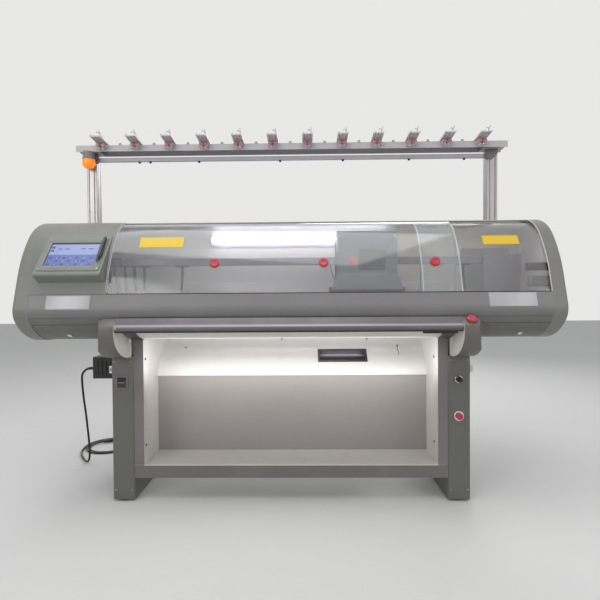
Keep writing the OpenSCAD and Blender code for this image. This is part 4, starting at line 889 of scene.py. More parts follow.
def end_shell(name, side, band_to=None):
    """The rounded end of the hood as one sheet, with the closed head beside it where it has one."""
    flat = hood_outline(0)
    n = len(flat)
    points = []
    for i in range(EDGE_STEPS + 1):
        a = math.radians(90 * i / EDGE_STEPS)
        x = side * (END_X + END_W - EDGE_R + EDGE_R * math.cos(a))
        points += [(x, p[0], p[1]) for p in hood_outline(EDGE_R - EDGE_R * math.sin(a))]
    points += [(side * END_X, *p) for p in flat]
    faces = bands(n, EDGE_STEPS + 1) + [tuple(range(n - 1, -1, -1))]
    if band_to is not None:
        first = (EDGE_STEPS + 1) * n
        banded = list(range(1 + len(under_line(0)), n)) + [0]
        start = len(points)
        points += [(band_to, *flat[k]) for k in banded]
        for j, (a, b) in enumerate(zip(banded, banded[1:])):
            faces.append((first + a, first + b, start + j + 1, start + j))
    piece = skin(name, points, faces)
    outward = sum((f.center[0] - side * END_X * MM) * f.normal[0] * side * f.area for f in piece.data.polygons)
    if outward < 0:
        piece.data.flip_normals()
    solid = piece.modifiers.new("sheet", "SOLIDIFY")
    solid.thickness = SHELL_T * MM
    solid.offset = -1.0
    solid.use_even_offset = False
    return settle(piece, 32)


left_head = fit(end_shell("left_head_shell", -1, HEAD_X), "head_paint")
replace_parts(left_head, "left_head_cover")
right_end = fit(end_shell("right_end_shell", 1), "cap_paint")
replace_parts(right_end, "right_end_cover")

FRONT_T = 4.0
UNDER_END = NOSE_Y + 237
front_profile = (
    [(UNDER_END, BASE_Z)] + under_line(0, True) + [flat_point(SILL_S, 0), flat_point(SILL_S, FRONT_T)]
    + under_line(FRONT_T)[::-1] + [(UNDER_END, BASE_Z + FRONT_T)]
)
front = fit(run_x("front_cover_shell", front_profile, -END_X, END_X), "hood_paint")
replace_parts(front, "front_cover")


# ---------------- clear sliding covers
SHEET_T, STRIP_T, STRIP_W = 4, 1.9, 5
SHEET_END, STRIP_END, TRIM_END = 84, 74, 88
LONG_D, SHORT_D = 6, 14
LONG_X, SHORT_X = (-878, 834), (646, 1248)


def cover_sheet(name, ends, d, body, node):
    sheet = run_x(name, hood_strip(d, SHEET_T, SILL_S - 18, SHEET_END), *ends)
    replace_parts(fit(sheet, "smoked_sheet", body), node)


def cover_strip(name, x, d, body):
    """The dull edge of a clear sheet, which lies on its outer face."""
    strip = run_x(name, hood_strip(d - 2, STRIP_T, SILL_S + 6, STRIP_END), x, x + STRIP_W)
    fit(strip, "edge_sheet", body)


cover_sheet("long_cover_sheet", LONG_X, LONG_D, "long_cover", "left_cover")
cover_sheet("short_cover_sheet", SHORT_X, SHORT_D, "short_cover", "right_cover")
cover_strip("long_cover_left_strip", LONG_X[0], LONG_D, "long_cover")
cover_strip("long_cover_right_strip", LONG_X[1] - STRIP_W, LONG_D, "long_cover")
cover_strip("short_cover_strip", SHORT_X[0], SHORT_D, "short_cover")


# ---------------- more shapes
def plate(name, outline, thick, where, hole=None, bevel=0.6):
    """A flat plate from an [across, up] outline, with one hole if given, placed by a matrix in millimetres.
    Its front lies at depth 0 and its back at thick."""
    bm = bmesh.new()
    loops = []
    for loop in [outline] + ([hole] if hole else []):
        verts = [bm.verts.new((x, 0, z)) for x, z in loop]
        loops.append([bm.edges.new((verts[i], verts[(i + 1) % len(verts)])) for i in range(len(verts))])
    made = bmesh.ops.triangle_fill(bm, edges=[e for loop in loops for e in loop], use_beauty=True)
    faces = [f for f in made["geom"] if isinstance(f, bmesh.types.BMFace)]
    if not hole:
        bmesh.ops.dissolve_faces(bm, faces=faces)
        faces = bm.faces[:]
    grown_out = bmesh.ops.extrude_face_region(bm, geom=faces)
    bmesh.ops.translate(
        bm, vec=(0, thick, 0), verts=[v for v in grown_out["geom"] if isinstance(v, bmesh.types.BMVert)]
    )
    bmesh.ops.recalc_face_normals(bm, faces=bm.faces)
    if bevel:
        rims = [e for e in bm.edges if len(e.link_faces) == 2 and e.calc_face_angle() > 1.2]
        bmesh.ops.bevel(bm, geom=rims, offset=bevel, segments=2, affect="EDGES", profile=0.5)
    bmesh.ops.transform(bm, matrix=Matrix.Scale(MM, 4) @ where, verts=bm.verts)
    return shade(kept(name, bm), 40)


def round_rect(x0, z0, x1, z1, r, n=5):
    points = []
    for cx, cz, a in ((x1 - r, z1 - r, 0), (x0 + r, z1 - r, 90), (x0 + r, z0 + r, 180), (x1 - r, z0 + r, 270)):
        for i in range(n + 1):
            t = math.radians(a + 90 * i / n)
            points.append((cx + r * math.cos(t), cz + r * math.sin(t)))
    return points


def filleted(points, r, n=4):
    """A closed outline with its corners rounded."""
    line = []
    for i, p in enumerate(points):
        here = Vector(p)
        before, after = Vector(points[i - 1]) - here, Vector(points[(i + 1) % len(points)]) - here
        reach = min(r, before.length * 0.45, after.length * 0.45)
        a, b = here + before.normalized() * reach, here + after.normalized() * reach
        for k in range(n + 1):
            t = k / n
            line.append(tuple((1 - t) ** 2 * a + 2 * t * (1 - t) * here + t * t * b))
    return line


def ring_of(name, at, way, big, small, sides=24, tube=8):
    """A torus: an eyelet or guide ring."""
    way, side, up = across(way)
    points, faces = [], []
    for out in around(side, up, sides):
        for k in range(tube):
            a = math.tau * k / tube
            points.append(Vector(at) + out * (big + small * math.cos(a)) + way * small * math.sin(a))
    for i in range(sides):
        for k in range(tube):
            j, m = (i + 1) % sides, (k + 1) % tube
            faces.append((i * tube + k, j * tube + k, j * tube + m, i * tube + m))
    return skin(name, points, faces, angle=60)


def bevelled(piece, width):
    """Softened hard edges."""
    edge = piece.modifiers.new("edge", "BEVEL")
    edge.width = width * MM
    edge.segments = 2
    edge.limit_method = "ANGLE"
    edge.angle_limit = math.radians(40)
    edge.harden_normals = False
    return settle(piece, 35)


def on_face(z0, z1, d, n=8):
    """Points of the hood's nose and flat front between two heights, d inside its outer surface."""
    line = []
    for i in range(n + 1):
        z = z0 + (z1 - z0) * i / n
        if z < FLAT_START[1]:
            lean = math.degrees(math.asin((z - NOSE_Z) / NOSE_R))
            line.append(go(NOSE_C, lean_way(lean), NOSE_R - d))
        else:
            line.append(flat_point(flat_s(z), d))
    return line


def bare_plate(name, x0, x1, z0, z1):
    """A thin plain plate that follows the hood's nose."""
    profile = on_face(z0, z1, -1.2) + on_face(z0, z1, 0.05)[::-1]
    fit(bevelled(run_x(name, profile, x0, x1), 0.3), "bare_plate")


def field_on_cover(name, x0, x1, lean0, lean1, d, body):
    """A thin plain field that follows a clear cover's brow curve."""
    outer, inner = (ring(BROW_C, BROW_R - d + out, 180 - lean0, 180 - lean1, 6) for out in (0.5, 0.1))
    fit(run_x(name, outer + inner[::-1], x0, x1), "yellow_field", body)


# ---------------- hood: plates, fields, painted edge highlights and catches
bare_plate("bare_plate_left", -1162, -950, 999, 1066)
bare_plate("bare_plate_right", 950, 1174, 1002, 1067)
field_on_cover("yellow_field_left", -747, -527, 28.4, 35.0, LONG_D, "long_cover")
field_on_cover("yellow_field_right", 966, 1144, 29.2, 35.0, SHORT_D, "short_cover")
# painted highlight: pale strips on the head's and the cap's edges, where the sheet edges catch the light
for name, x0, x1 in (("head_edge_trim", HEAD_X - 4, HEAD_X + 0.8), ("cap_edge_trim", END_X - 0.8, END_X + 3)):
    fit(run_x(name, hood_strip(-0.6, 2.6, SILL_S, TRIM_END), x0, x1), "pale_trim")
seal = [flat_point(SILL_S + s, d) for s, d in ((-1, -0.4), (3, -0.4), (3, 4.2), (-1, 4.2))]
fit(run_x("sill_seal", seal, HEAD_X + 1, END_X - 1), "rubber")

catch_way = lean_way(-61.3)
catch_at = go(UNDER_C, catch_way, UNDER_R)
for label, x in (("left", -1093), ("right", 1134)):
    catch = lathe(
        "catch_" + label, [(13, -1), (13, 2), (11.5, 3.4), (9, 3.4), (8.4, 2.6), (2.2, 2.6), (2.0, 1.6), (0, 1.6)],
        (x, *catch_at), (0, *catch_way),
    )
    fit(catch, "chrome")

# screws that hold the end covers and the roof
covers = [((side * (END_X - 12), BACK_Y, z), (0, 1, 0)) for side in (-1, 1) for z in (900, 1100, 1300)]
covers += [((x, BACK_Y, z), (0, 1, 0)) for x in range(-780, 1000, 220) for z in (862, 1352)]
screws("cover_screws", 5.5, 2.6, covers, 3)

# ---------------- screen on the left head
SCREEN = Matrix.Translation((-1050, FRONT_Y + 22, SILL_Z + 99)) @ Matrix.Rotation(-math.atan2(160, 204), 4, "X")


def on_screen(depth):
    return SCREEN @ Matrix.Translation((0, depth, 0))


window = round_rect(-127, 48, 117, 199.6, 2)
bezel = plate("screen_bezel", round_rect(-150, 16, 150, 236, 12), 4, on_screen(-3.4), window, 1.2)
fit(bezel, "housing_paint")
glass = round_rect(-125.5, 49.5, 115.5, 198, 2)
rim = plate("screen_rim", round_rect(-129, 46, 119, 201, 3), 3, on_screen(-1.6), glass, 0.4)
fit(rim, "black_plastic")


def screen_tiles(name, cells, depth, finish_name):
    """Plain blocks of the screen's picture, just in front of the glass."""
    tiles = [
        plate(name, [(x0, z0), (x1, z0), (x1, z1), (x0, z1)], 0.12, on_screen(depth), bevel=0)
        for x0, z0, x1, z1 in cells
    ]
    fit(merge(name, tiles), finish_name)


picture = random.Random(41)
screen_tiles("screen_upper_area", [(-125, 122, 115, 191)], 0.35, "screen_pale")
screen_tiles("screen_lower_area", [(-125, 50, 115, 121)], 0.35, "screen_blue")
marks = [(-125, 192, 115, 198), (-122, 164, -104, 178), (-122, 144, -104, 156), (-88, 158, -66, 164)]
marks += [(-52, 158, -30, 164), (26, 158, 50, 164), (64, 158, 88, 164)]
for k in range(7):
    x = -116 + k * 33
    for level in (54, 74, 96):
        marks.append((x, level, x + picture.uniform(12, 22), level + picture.uniform(9, 15)))
screen_tiles("screen_dark_marks", marks, 0.2, "screen_mark")
icons = [
    (-112 + k * 33, 56 + 20 * line, -104 + k * 33, 64 + 20 * line)
    for k in range(7)
    for line in range(3)
    if (k + line) % 2
]
icons += [(-92 + k * 36, 132, -72 + k * 36, 140) for k in range(6)]
screen_tiles("screen_icon_blocks", icons, 0.05, "screen_icon")

block(
    "pen_holder", (124, -14, 92), (147, -2.5, 168), 5, "black_plastic", steps=3, turn=SCREEN,
)
pen_line = [SCREEN @ Vector((135.5, -14, z)) for z in (62, 66, 80, 120, 170, 212, 226, 230)]
pen_radii = [1.2, 3.0, 6.2, 8.2, 8.8, 8.4, 7.0, 3.5]
fit(wire("screen_pen", pen_line, sides=14, radii=pen_radii), "black_plastic")
outward = SCREEN.to_3x3() @ Vector((0, -1, 0))
housing_screws = [(SCREEN @ Vector((x, -3.6, z)), outward) for x in (-141, 141) for z in (28, 224)]
screws("bezel_screws", 3.4, 1.6, housing_screws, 5)

# ---------------- arms with smooth bellies and softened edges
LEG_MID, LEG_FRONT, LEG_BACK, LEG_TOP = 861.5, -271.0, 289.0, 747.0
ARM_IN, ARM_OUT, NOSE_LOW, LIP_Z, JOIN, SHOULDER_R = 818.0, 913.0, 889.0, 919.0, (-428.0, 956.0), 42


def arm_profile():
    belly = [
        (LEG_FRONT + (FRONT_Y - LEG_FRONT) * math.sin(a), NOSE_LOW - (NOSE_LOW - LEG_TOP) * math.cos(a))
        for a in (math.pi / 2 * i / 28 for i in range(29))
    ]
    lip = filleted([belly[-1], (FRONT_Y, LIP_Z), JOIN], 14, 5)[7:11]
    hood = [p for p in reversed(under_line(-0.5)) if p[1] < JOIN[1] - 2]
    return [(LEG_BACK, LEG_TOP)] + belly + lip + [JOIN] + hood + [(LEG_BACK, BASE_Z - 0.5)]


def make_arm(name, side, node):
    arm = run_x(name, arm_profile(), ARM_IN, ARM_OUT)
    bm = bmesh.new()
    bm.from_mesh(arm.data)
    cuts = [(Vector((ARM_OUT - 27, FRONT_Y, 0)), Vector((48, -27, 0)))]
    for k in range(6):
        a = math.radians(8 + 15 * k)
        way = Vector((math.cos(a), 0, math.sin(a)))
        cuts.append((Vector((ARM_OUT - SHOULDER_R, 0, JOIN[1] - SHOULDER_R)) + way * SHOULDER_R, way))
    for at, way in cuts:
        whole = bm.verts[:] + bm.edges[:] + bm.faces[:]
        cut = bmesh.ops.bisect_plane(bm, geom=whole, plane_co=at * MM, plane_no=way.normalized(), clear_outer=True)
        bmesh.ops.holes_fill(bm, edges=[e for e in cut["geom_cut"] if isinstance(e, bmesh.types.BMEdge)])
    if side < 0:
        bmesh.ops.scale(bm, vec=(-1, 1, 1), verts=bm.verts)
    bmesh.ops.recalc_face_normals(bm, faces=bm.faces)
    bm.to_mesh(arm.data)
    bm.free()
    bevelled(arm, 2.2)
    left, right = sorted((side * ARM_IN, side * ARM_OUT))
    pad = rounded(name + "_pad", (left, -195, BASE_Z - 1), (right, 45, 850), 1)
    fit(merge(name, [arm, pad]), "arm_paint")
    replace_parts(arm, node)


make_arm("left_arm_casting", -1, "left_arm")
make_arm("right_arm_casting", 1, "right_arm")

# ---------------- operating bar
AXIS_Z, BAR_END = 903.0, 816


def on_bar(points, r=None, n=3):
    """Points measured from the hood's front and the bar's axis, rounded where a radius is given."""
    points = [(FRONT_Y + y, AXIS_Z + z) for y, z in points]
    return filleted(points, r, n) if r else points


bar_profile = on_bar([(37, 53), (33, 53), (5, 13), (2, 4), (5, -7), (11, -11), (30, -11), (36, -4), (36, 8)], 5, 4)
bar = run_x("operating_bar_profile", bar_profile, -BAR_END, BAR_END)
pins = [
    lathe("bar_pin", [(6, 0), (6, 8.5), (5.4, 9)], (side * (BAR_END - 1), FRONT_Y + 20, AXIS_Z), (side, 0, 0), 24)
    for side in (-1, 1)
]
fit(merge("operating_bar_profile", [bevelled(bar, 1.2)] + pins), "bar_paint", "bar")
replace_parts(bar, "operating_bar")
bar_lip = on_bar([(4.4, -6.6), (10.8, -11.2), (29, -11.2), (29, -15), (9, -15), (3, -9)])
fit(run_x("bar_lower_lip", bar_lip, -BAR_END + 4, BAR_END - 4), "rubber", "bar")
bar_foam = on_bar([(3, -8), (3, -24), (28, -24), (28, -12)], 4)
fit(run_x("bar_foam", bar_foam, 632, 790), "foam", "bar")
bar_cap = on_bar([(36, 51), (4, 12), (1.4, 3), (10, -11.6), (34, -8)], 4)
fit(run_x("bar_end_cap", bar_cap, -BAR_END, -BAR_END + 10), "pink_disc", "bar")

# ---------------- carriage
COVER_X, COVER_Y, RISER_Z, TOP_OF_COVER = (248.0, 558.0), -240.0, 1100.0, 1392.0
COVER_FOOT = RISER_Z + 8


def cover_arch(front, shoulder, lean, top, back, r):
    """The carriage cover's arch in side view, open below."""
    points = [
        (front, COVER_FOOT), (front, TOP_OF_COVER - shoulder), (lean[0], TOP_OF_COVER - top),
        (lean[1], TOP_OF_COVER - top), (back, TOP_OF_COVER - shoulder), (back, COVER_FOOT),
    ]
    return filleted(points, r, 6)[6:-6]


arch = cover_arch(COVER_Y + 4, 22, (-228, -52), 0, -40, 16)
arch += cover_arch(COVER_Y + 7, 24, (-226, -54), 3, -43, 14)[::-1]
hood_of_carriage = run_x("carriage_cover_shell", arch, *COVER_X)
outline = round_rect(COVER_X[0], COVER_FOOT, COVER_X[1], TOP_OF_COVER - 14, 16)
window = round_rect(356, 1184, 494, 1292, 6)
face = plate("carriage_face", outline, 4, Matrix.Translation((0, COVER_Y, 0)), window, 1.4)
fit(merge("carriage_cover_shell", [hood_of_carriage, face]), "carriage_paint", "carriage")
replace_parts(hood_of_carriage, "carriage_cover")
behind = Matrix.Translation((0, COVER_Y + 3.6, 0))
recess = plate("carriage_window_back", round_rect(352, 1180, 498, 1296, 4), 1.2, behind, bevel=0.3)
fit(recess, "dark_panel", "carriage")
ribs = [
    rounded("carriage_window_rib", (360, COVER_Y + 1.2, z), (490, COVER_Y + 3.8, z + 3), 1)
    for z in range(1196, 1292, 16)
]
fit(merge("carriage_window_ribs", ribs), "black_plastic", "carriage")

skirt_front = [(250, COVER_Y - 1, 1172), (556, COVER_Y - 1, 1172), (588, -264, 1086), (216, -264, 1086)]
skirt_points = skirt_front + [(x, y + 3, z) for x, y, z in skirt_front]
skirt_faces = [(0, 1, 2, 3), (7, 6, 5, 4), (0, 4, 5, 1), (1, 5, 6, 2), (2, 6, 7, 3), (3, 7, 4, 0)]
fit(bevelled(skin("carriage_skirt", skirt_points, skirt_faces), 1.0), "carriage_paint", "carriage")
for x0, x1 in ((214, 218), (586, 590)):
    block("carriage_wiper", (x0, -268, 1076), (x1, -258, 1100), 2, "foam", "carriage")
cable = [
    (246, -232, 1262), (226, -240, 1250), (214, -244, 1222), (218, -246, 1180), (232, -246, 1140),
    (236, -240, 1110),
]
fit(wire("carriage_cable", curved(cable), 3.2), "grey_plastic", "carriage")
cover_screws = [((x, COVER_Y - 0.2, z), (0, -1, 0)) for x in (262, 544) for z in (1124, 1362)]
screws("carriage_screws", 5, 2.4, cover_screws, 9, body="carriage")
knob_profile = [(17, 0), (16.4, 1.2), (8, 2.4), (0, 2.6)]
knob_cap = lathe("carriage_knob_cap", knob_profile, (330, COVER_Y - 10.6, BED_Z + 174), (0, -1, 0), 28)
fit(knob_cap, "red_plastic", "carriage")

# rims and caps that the red cover knobs are turned with
knob_way = lean_way(21.3)
knob_at = go(BROW_C, knob_way, BROW_R - LONG_D + 10)
for k, x in enumerate((-360, 172, 713)):
    profile = [(19, -0.6), (18.6, 0.6), (13, 1.2), (11, 0.4), (0, 0.4)]
    cap = lathe("cover_knob_cap_%d" % k, profile, (x, *knob_at), (0, *knob_way))
    fit(cap, "red_plastic", "long_cover")

# ---------------- yarn feeders
FEEDER_X = (-930, -884, -838, -792, -588, 940)
RAIL_STEP, TIP_STEP, PLATE_T = 32, 5, 1.4
for i, x in enumerate(FEEDER_X):
    number = i + 1
    body = "yarn_feeder_%d" % number
    way = -1 if i % 2 == 0 else 1
    rail = RAIL_STEP * (i // 2 - 1)
    outer = BED_Y + (rail + way * 13.4)
    mid = BED_Y + (rail + way * 4.4 + (rail + way * 13.4)) / 2
    tip = BED_Y + (i - 2.5) * TIP_STEP
    where = Matrix.Translation((0, outer - (PLATE_T if way < 0 else 0), 0))
    outline = round_rect(x - 34, 1221, x + 34, 1258, 4)
    face_plate = plate("feeder_plate_%d" % number, outline, PLATE_T, where, bevel=0.4)
    fit(face_plate, "dark_panel", body)
    heads = [((x + dx, outer + way * PLATE_T, 1240), (0, way, 0)) for dx in (-24, 24)]
    screws("feeder_screws_%d" % number, 3.6, 1.0, heads, 20 + i, body=body)
    eye = ring_of("feeder_eyelet_%d" % number, (x, mid, 1268.5), (0, 0, 1), 3.4, 1.4, 16, 8)
    stem = lathe("feeder_stem", [(1.4, 0), (1.4, 6)], (x, mid + 3.2 * way, 1262), sides=8)
    fit(merge("feeder_eyelet_%d" % number, [eye, stem]), "ceramic_white", body)
    line = [(x + 9, mid, 1214), (x + 9, mid, 1172), (x + 7.5, tip, 1104), (x + 4.2, tip, 1084)]
    fit(wire("feeder_wire_%d" % number, curved(line, 5), 0.9, 6), "polished_steel", body)
    tip_profile = [(1.3, 0), (1.8, 3), (1.8, 15), (1.2, 16)]
    tube = lathe("feeder_tip_%d" % number, tip_profile, (x, tip, BED_Z + 11.6), sides=10)
    fit(tube, "polished_steel", body)
curl = curved([(-968, -186, 1218), (-974, -186, 1190), (-966, -184, 1160), (-972, -180, 1130), (-958, -176, 1112)])
fit(wire("feeder_loop_wire", curl, 3.4), "rubber", "yarn_feeder_1")

# ---------------- lamp and inside of the hood
ROOF_CORNER = (BACK_Y - BACK_R, TOP_Z - BACK_R)
tray = ring(ROOF_CORNER, 74, 58, 0, 10) + [(54, 1338), (52.6, 1338)] + ring(ROOF_CORNER, 72.6, 0, 58, 10)
fit(bevelled(run_x("lamp_tray", tray, -470, 570), 1.0), "tray_paint")
for x in (-462, 562):
    profile = [(14.5, -9), (14.5, 8), (13.4, 9.5), (6, 10)]
    cap = lathe("lamp_end_cap", profile, (x, 31, 1380), (1 if x > 0 else -1, 0, 0), 28)
    fit(cap, "pale_trim")
for x in (749, 947):
    block("inner_wall_seam", (x - 1.6, 52.4, 1078), (x + 1.6, 54.4, 1378), 0.5, "seam_grey")
for x0, x1 in ((-612, -184), (488, 916)):
    block("vent_filter", (x0, 53.2, 990), (x1, 56.9, 1132), 1.2, "inner_paint")
block("end_buffer", (1196, -300, 1176), (1320, -262, 1216), 8, "foam", steps=3)
block("end_buffer_low", (1206, -296, 1096), (1320, -262, 1150), 8, "bracket_paint", steps=3)

# needle hooks between the beds, one row for each bed
NEEDLES, NEEDLE_STEP, BED_GAP = 276, (5, 0, 0), 4


def needle(side):
    """A needle's hook and stem on the bed's face, at X 0, on the side -1 or 1."""
    c, s = math.cos(math.pi / 4), math.sin(math.pi / 4)
    path = [
        (0, BED_Y + side * (BED_GAP + down * c + out * s), BED_Z - down * s + out * c)
        for down, out in ((27, 0.9), (2, 0.9), (-1.5, 1.6), (-2.2, 3.0), (-0.4, 3.8), (1.6, 3.2))
    ]
    return wire("needle_item", path, 0.55, 4)


for name, side, x, body in (("front_needles", -1, -687.5, "machine"), ("rear_needles", 1, -690, "rear_bed")):
    row(name, needle(side), NEEDLES, (x, 0, 0), NEEDLE_STEP, "polished_steel", body, 60)

# ---------------- cabinet
INSIDE_X = 755.0
CHUTE_FOOT, CHUTE_RUN, CHUTE_RISE = (-48, 611), 161, 225
SLOT_T, SLOT_Z, SLOT_LEAN = 0.455, 713, 46


def chute_at(t):
    """The chute's curve in side view, from its foot at 0 to its top at 1."""
    return (CHUTE_FOOT[0] + CHUTE_RUN * t * t * (3 - 2 * t), CHUTE_FOOT[1] + CHUTE_RISE * t)


def chute_way(t):
    """The way that the chute's face looks."""
    a, b = chute_at(t - 0.02), chute_at(t + 0.02)
    return Vector((0, -(b[1] - a[1]), b[0] - a[0])).normalized()


screw_spots = ((-623, 0.64), (442, 0.83), (615, 0.66), (-640, 0.9), (-60, 0.83))
chute_screws = [((x, *chute_at(t)), chute_way(t)) for x, t in screw_spots]
screws("chute_screws", 6, 2.2, chute_screws, 11, "spring_steel")
wall_plugs = [
    ((side * (INSIDE_X - 0.2), y, z), (-side, 0, 0)) for side, y in ((-1, -238), (1, -196)) for z in (283, 733)
]
plug = lathe("plug_item", [(7, 0), (7, 1.2), (5, 2.4), (0, 2.6)], sides=14)
spread("wall_plugs", plug, wall_plugs, 12, "rubber")
string = [
    (x, chute_at(t)[0] - out, chute_at(t)[1] - down)
    for x, t, out, down in ((615, 0.66, 3, 0), (612, 0.6, 5, 4), (617, 0.52, 4, 2), (613, 0.46, 4, 0))
]
fit(wire("chute_pull_cord", curved(string, 5), 1.4, 6), "rubber")

slot_at = Matrix.Translation((0, chute_at(SLOT_T)[0] - 5, SLOT_Z))
slot_turn = slot_at @ Matrix.Rotation(-math.radians(SLOT_LEAN), 4, "X")
opening = round_rect(162, -33, 420, 33, 3)
slot_frame = plate("slot_frame", round_rect(150, -46, 432, 46, 5), 5, slot_turn, opening, 1.0)
fit(slot_frame, "dark_panel")
# painted shade: a dark sheet behind the slot, so the opening shows dark as the shade inside it
block("slot_flap", (140, 76, 655), (448, 79, 764), 1.2, "dark_panel")
block("slot_bar", (158, 72, 695), (424, 76.5, 712), 2.0, "slot_lilac", steps=3)

shelf_rim = [(-270.6, 186), (-270.6, 190.4), (-250, 190.4), (-250, 189.1), (-268, 189.1), (-268, 186)]
fit(run_x("shelf_front_edge", shelf_rim, -INSIDE_X, INSIDE_X), "pale_trim")
crease = [(-52.6, 609.4), (-52.6, 614.2), (-46, 615.4), (-46, 609.4)]
fit(bevelled(run_x("crease_lip", crease, -INSIDE_X + 1, INSIDE_X - 1), 0.6), "white_coat")
spots = [((side * (ARM_IN - 1.5), y, 846), (-side, 0, 0)) for side, y in ((-1, -238), (1, -230))]
spot = lathe("spot_item", [(8, 0), (8, 1.5), (6, 3), (0, 3)], sides=18)
spread("arm_spots", spot, spots, 13, "ceramic_white")

# legs: plate screws, collars and nuts
leg_screws = [((side * x, LEG_FRONT, z), (0, -1, 0)) for side in (-1, 1) for x in (819, 904) for z in (60, 725)]
screws("leg_screws", 5.5, 2.4, leg_screws, 14, "spring_steel")
collars = []
for r, hole, z in ((25, 18.4, 439), (20, 16.2, 627)):
    profile = [(r, 0), (r, 3.2), (r - 1.2, 4.2), (hole, 4.2), (hole, 0.2)]
    collars.append(lathe("collar", profile, (860, LEG_FRONT + 0.1, z), (0, -1, 0)))
fit(merge("button_collars", collars), "chrome")
nuts = [((side * LEG_MID, y, 8.4), (0, 0, 1)) for side in (-1, 1) for y in (-211, 229)]
nut = lathe("nut_item", [(19, 0), (19, 3.4)], sides=6, angle=20)
spread("foot_nuts", nut, nuts, 15, "polished_steel")
low, high = (-884, LEG_FRONT - 5.6, 615.6), (-848, LEG_FRONT - 0.4, 617.4)
block("rocker_line", low, high, 0.5, "pale_trim", "power_switch")

# white apron under the hood, over the way into the cabinet
apron = (
    ring(UNDER_C, UNDER_R + 0.9, 232, 270, 12) + [(UNDER_END, BASE_Z - 0.9), (UNDER_END, BASE_Z - 0.1)]
    + ring(UNDER_C, UNDER_R + 0.1, 270, 232, 12)
)
fit(run_x("under_apron", apron, -INSIDE_X + 1, INSIDE_X - 1), "cabinet_paint")
block("cream_wall", (624, 53.6, 1077), (984, 55.6, 1380), 0.6, "cream_paint")

# ---------------- yarn stand
POST_X, BEAM_TOP = 1168, 1932
UNITS, UNIT_AT, UNIT_STEP = 12, (-1083.5, 30, BEAM_TOP), (197, 0, 0)
RAIL_AT, EYE_X = (84, 1847), (-890, -826, -538, -62, 305, 690, 1010)
lift = Matrix.Rotation(math.radians(-7), 4, "X")


def unit_row(name, pieces, finish_name):
    row(name, merge("unit_item", pieces), UNITS, UNIT_AT, UNIT_STEP, finish_name)


lips = [rounded("lip", (x, -105, 7.6), (x + 1.6, 28, 15), 0.5, 1, lift) for x in (-29, 27.4)]
lips.append(rounded("front_lip", (-29, -106.4, 0), (29, -104.6, 8.4), 0.6, 1, lift))
lips.append(rounded("bracket", (-20, -6.4, -23), (20, -3.8, 3), 1.2, 1))
unit_row("unit_plates", lips, "unit_paint")
dots = [
    lathe("dot", [(3.4, 0), (3.4, 0.5)], lift @ Vector((x, y, 5.1)), lift.to_3x3() @ Vector((0, 0, -1)), 7, 60)
    for x in (-17, 0, 17) for y in (-92, -76, -60, -44)
]
unit_row("unit_holes", dots, "dark_panel")
discs = [lathe("cap", [(10.5, 0), (10.8, 2), (8, 4.4), (0, 5)], (x, -35.6, -9), (0, -1, 0), 16) for x in (-15, 15)]
discs += [lathe("washer", [(13.5, 0), (13.5, 1.2)], (x, -19.6, -9), (0, -1, 0), 16) for x in (-15, 15)]
unit_row("unit_discs", discs, "pink_disc")
SPRING_R, SPRING_STEPS, SPRING_TURN = 4.6, 25, 0.785
springs = []
for x in (-15, 15):
    angles = [k * SPRING_TURN for k in range(SPRING_STEPS)]
    coil = [(x + SPRING_R * math.cos(a), -22 - 5 * a / 18.8, -9 + SPRING_R * math.sin(a)) for a in angles]
    springs.append(wire("spring", coil, 0.7, 4))
fork = [(-22, -5, -20), (-22, -24, -30), (0, -34, -33), (22, -24, -30), (22, -5, -20)]
springs.append(wire("fork", curved(fork, 4), 1.3, 6))
arm = [(20, -2, 6), (21, -40, 26), (18, -74, 40), (8, -90, 44), (2, -84, 40)]
springs.append(wire("arm", curved(arm, 4), 1.4, 6))
unit_row("unit_wires", springs, "spring_steel")
rings = [ring_of("ring", (x, -28, -29), (0, 1, 0.3), 5.4, 1.8, 12, 6) for x in (-9, 9)]
rings.append(lathe("hook", [(3.6, 0), (4.4, 2), (3.2, 8), (0, 9)], lift @ Vector((-20, -104, 8)), (0, -0.3, 1), 10))
rings.append(lathe("bead", [(0, -4), (3.4, -2.6), (4.2, 0), (3.4, 2.6), (0, 4)], (20, -62, 36), (0.2, -1, 0.4), 10))
unit_row("unit_eyes", rings, "ceramic_white")

eye = ring_of("eye", (0, 38, 7.5), (0, 1, 0), 5, 2, 12, 6)
eyelet = merge("eyelet_item", [rounded("eyelet", (-13, 34, 0), (13, 58, 3), 1, 1), eye])
row("beam_eyelets", eyelet, UNITS - 1, (-985, 0, BEAM_TOP), UNIT_STEP, "black_plastic")
rail_eye = rounded("rail_eye_item", (-7, -5, -7), (7, 5, 4), 3)
eye_spots = [((x, *RAIL_AT), (0, 0, 1)) for x in EYE_X]
spread("rail_eyes", rail_eye, eye_spots, 31, "black_plastic")
for side in (-1, 1):
    knee = [(side * x, z) for x, z in ((1126, 1838), (1164, 1838), (1198, 1872), (1198, 1896), (1126, 1896))]
    bracket = plate("beam_bracket", knee[::side], 13, Matrix.Translation((0, 62, 0)), bevel=1.4)
    fit(bracket, "bracket_paint")
for name, profile, z in (
    ("lamp_sleeve", [(30.3, 0), (31.2, 1), (31.2, 39), (29, 39.8), (29, 0)], 1856),
    ("lamp_foot", [(35.4, 0), (36.2, 1), (36.2, 6), (35.4, 7)], 1850),
):
    fit(lathe(name, profile, (-POST_X, 34, z), sides=36), "grey_plastic")

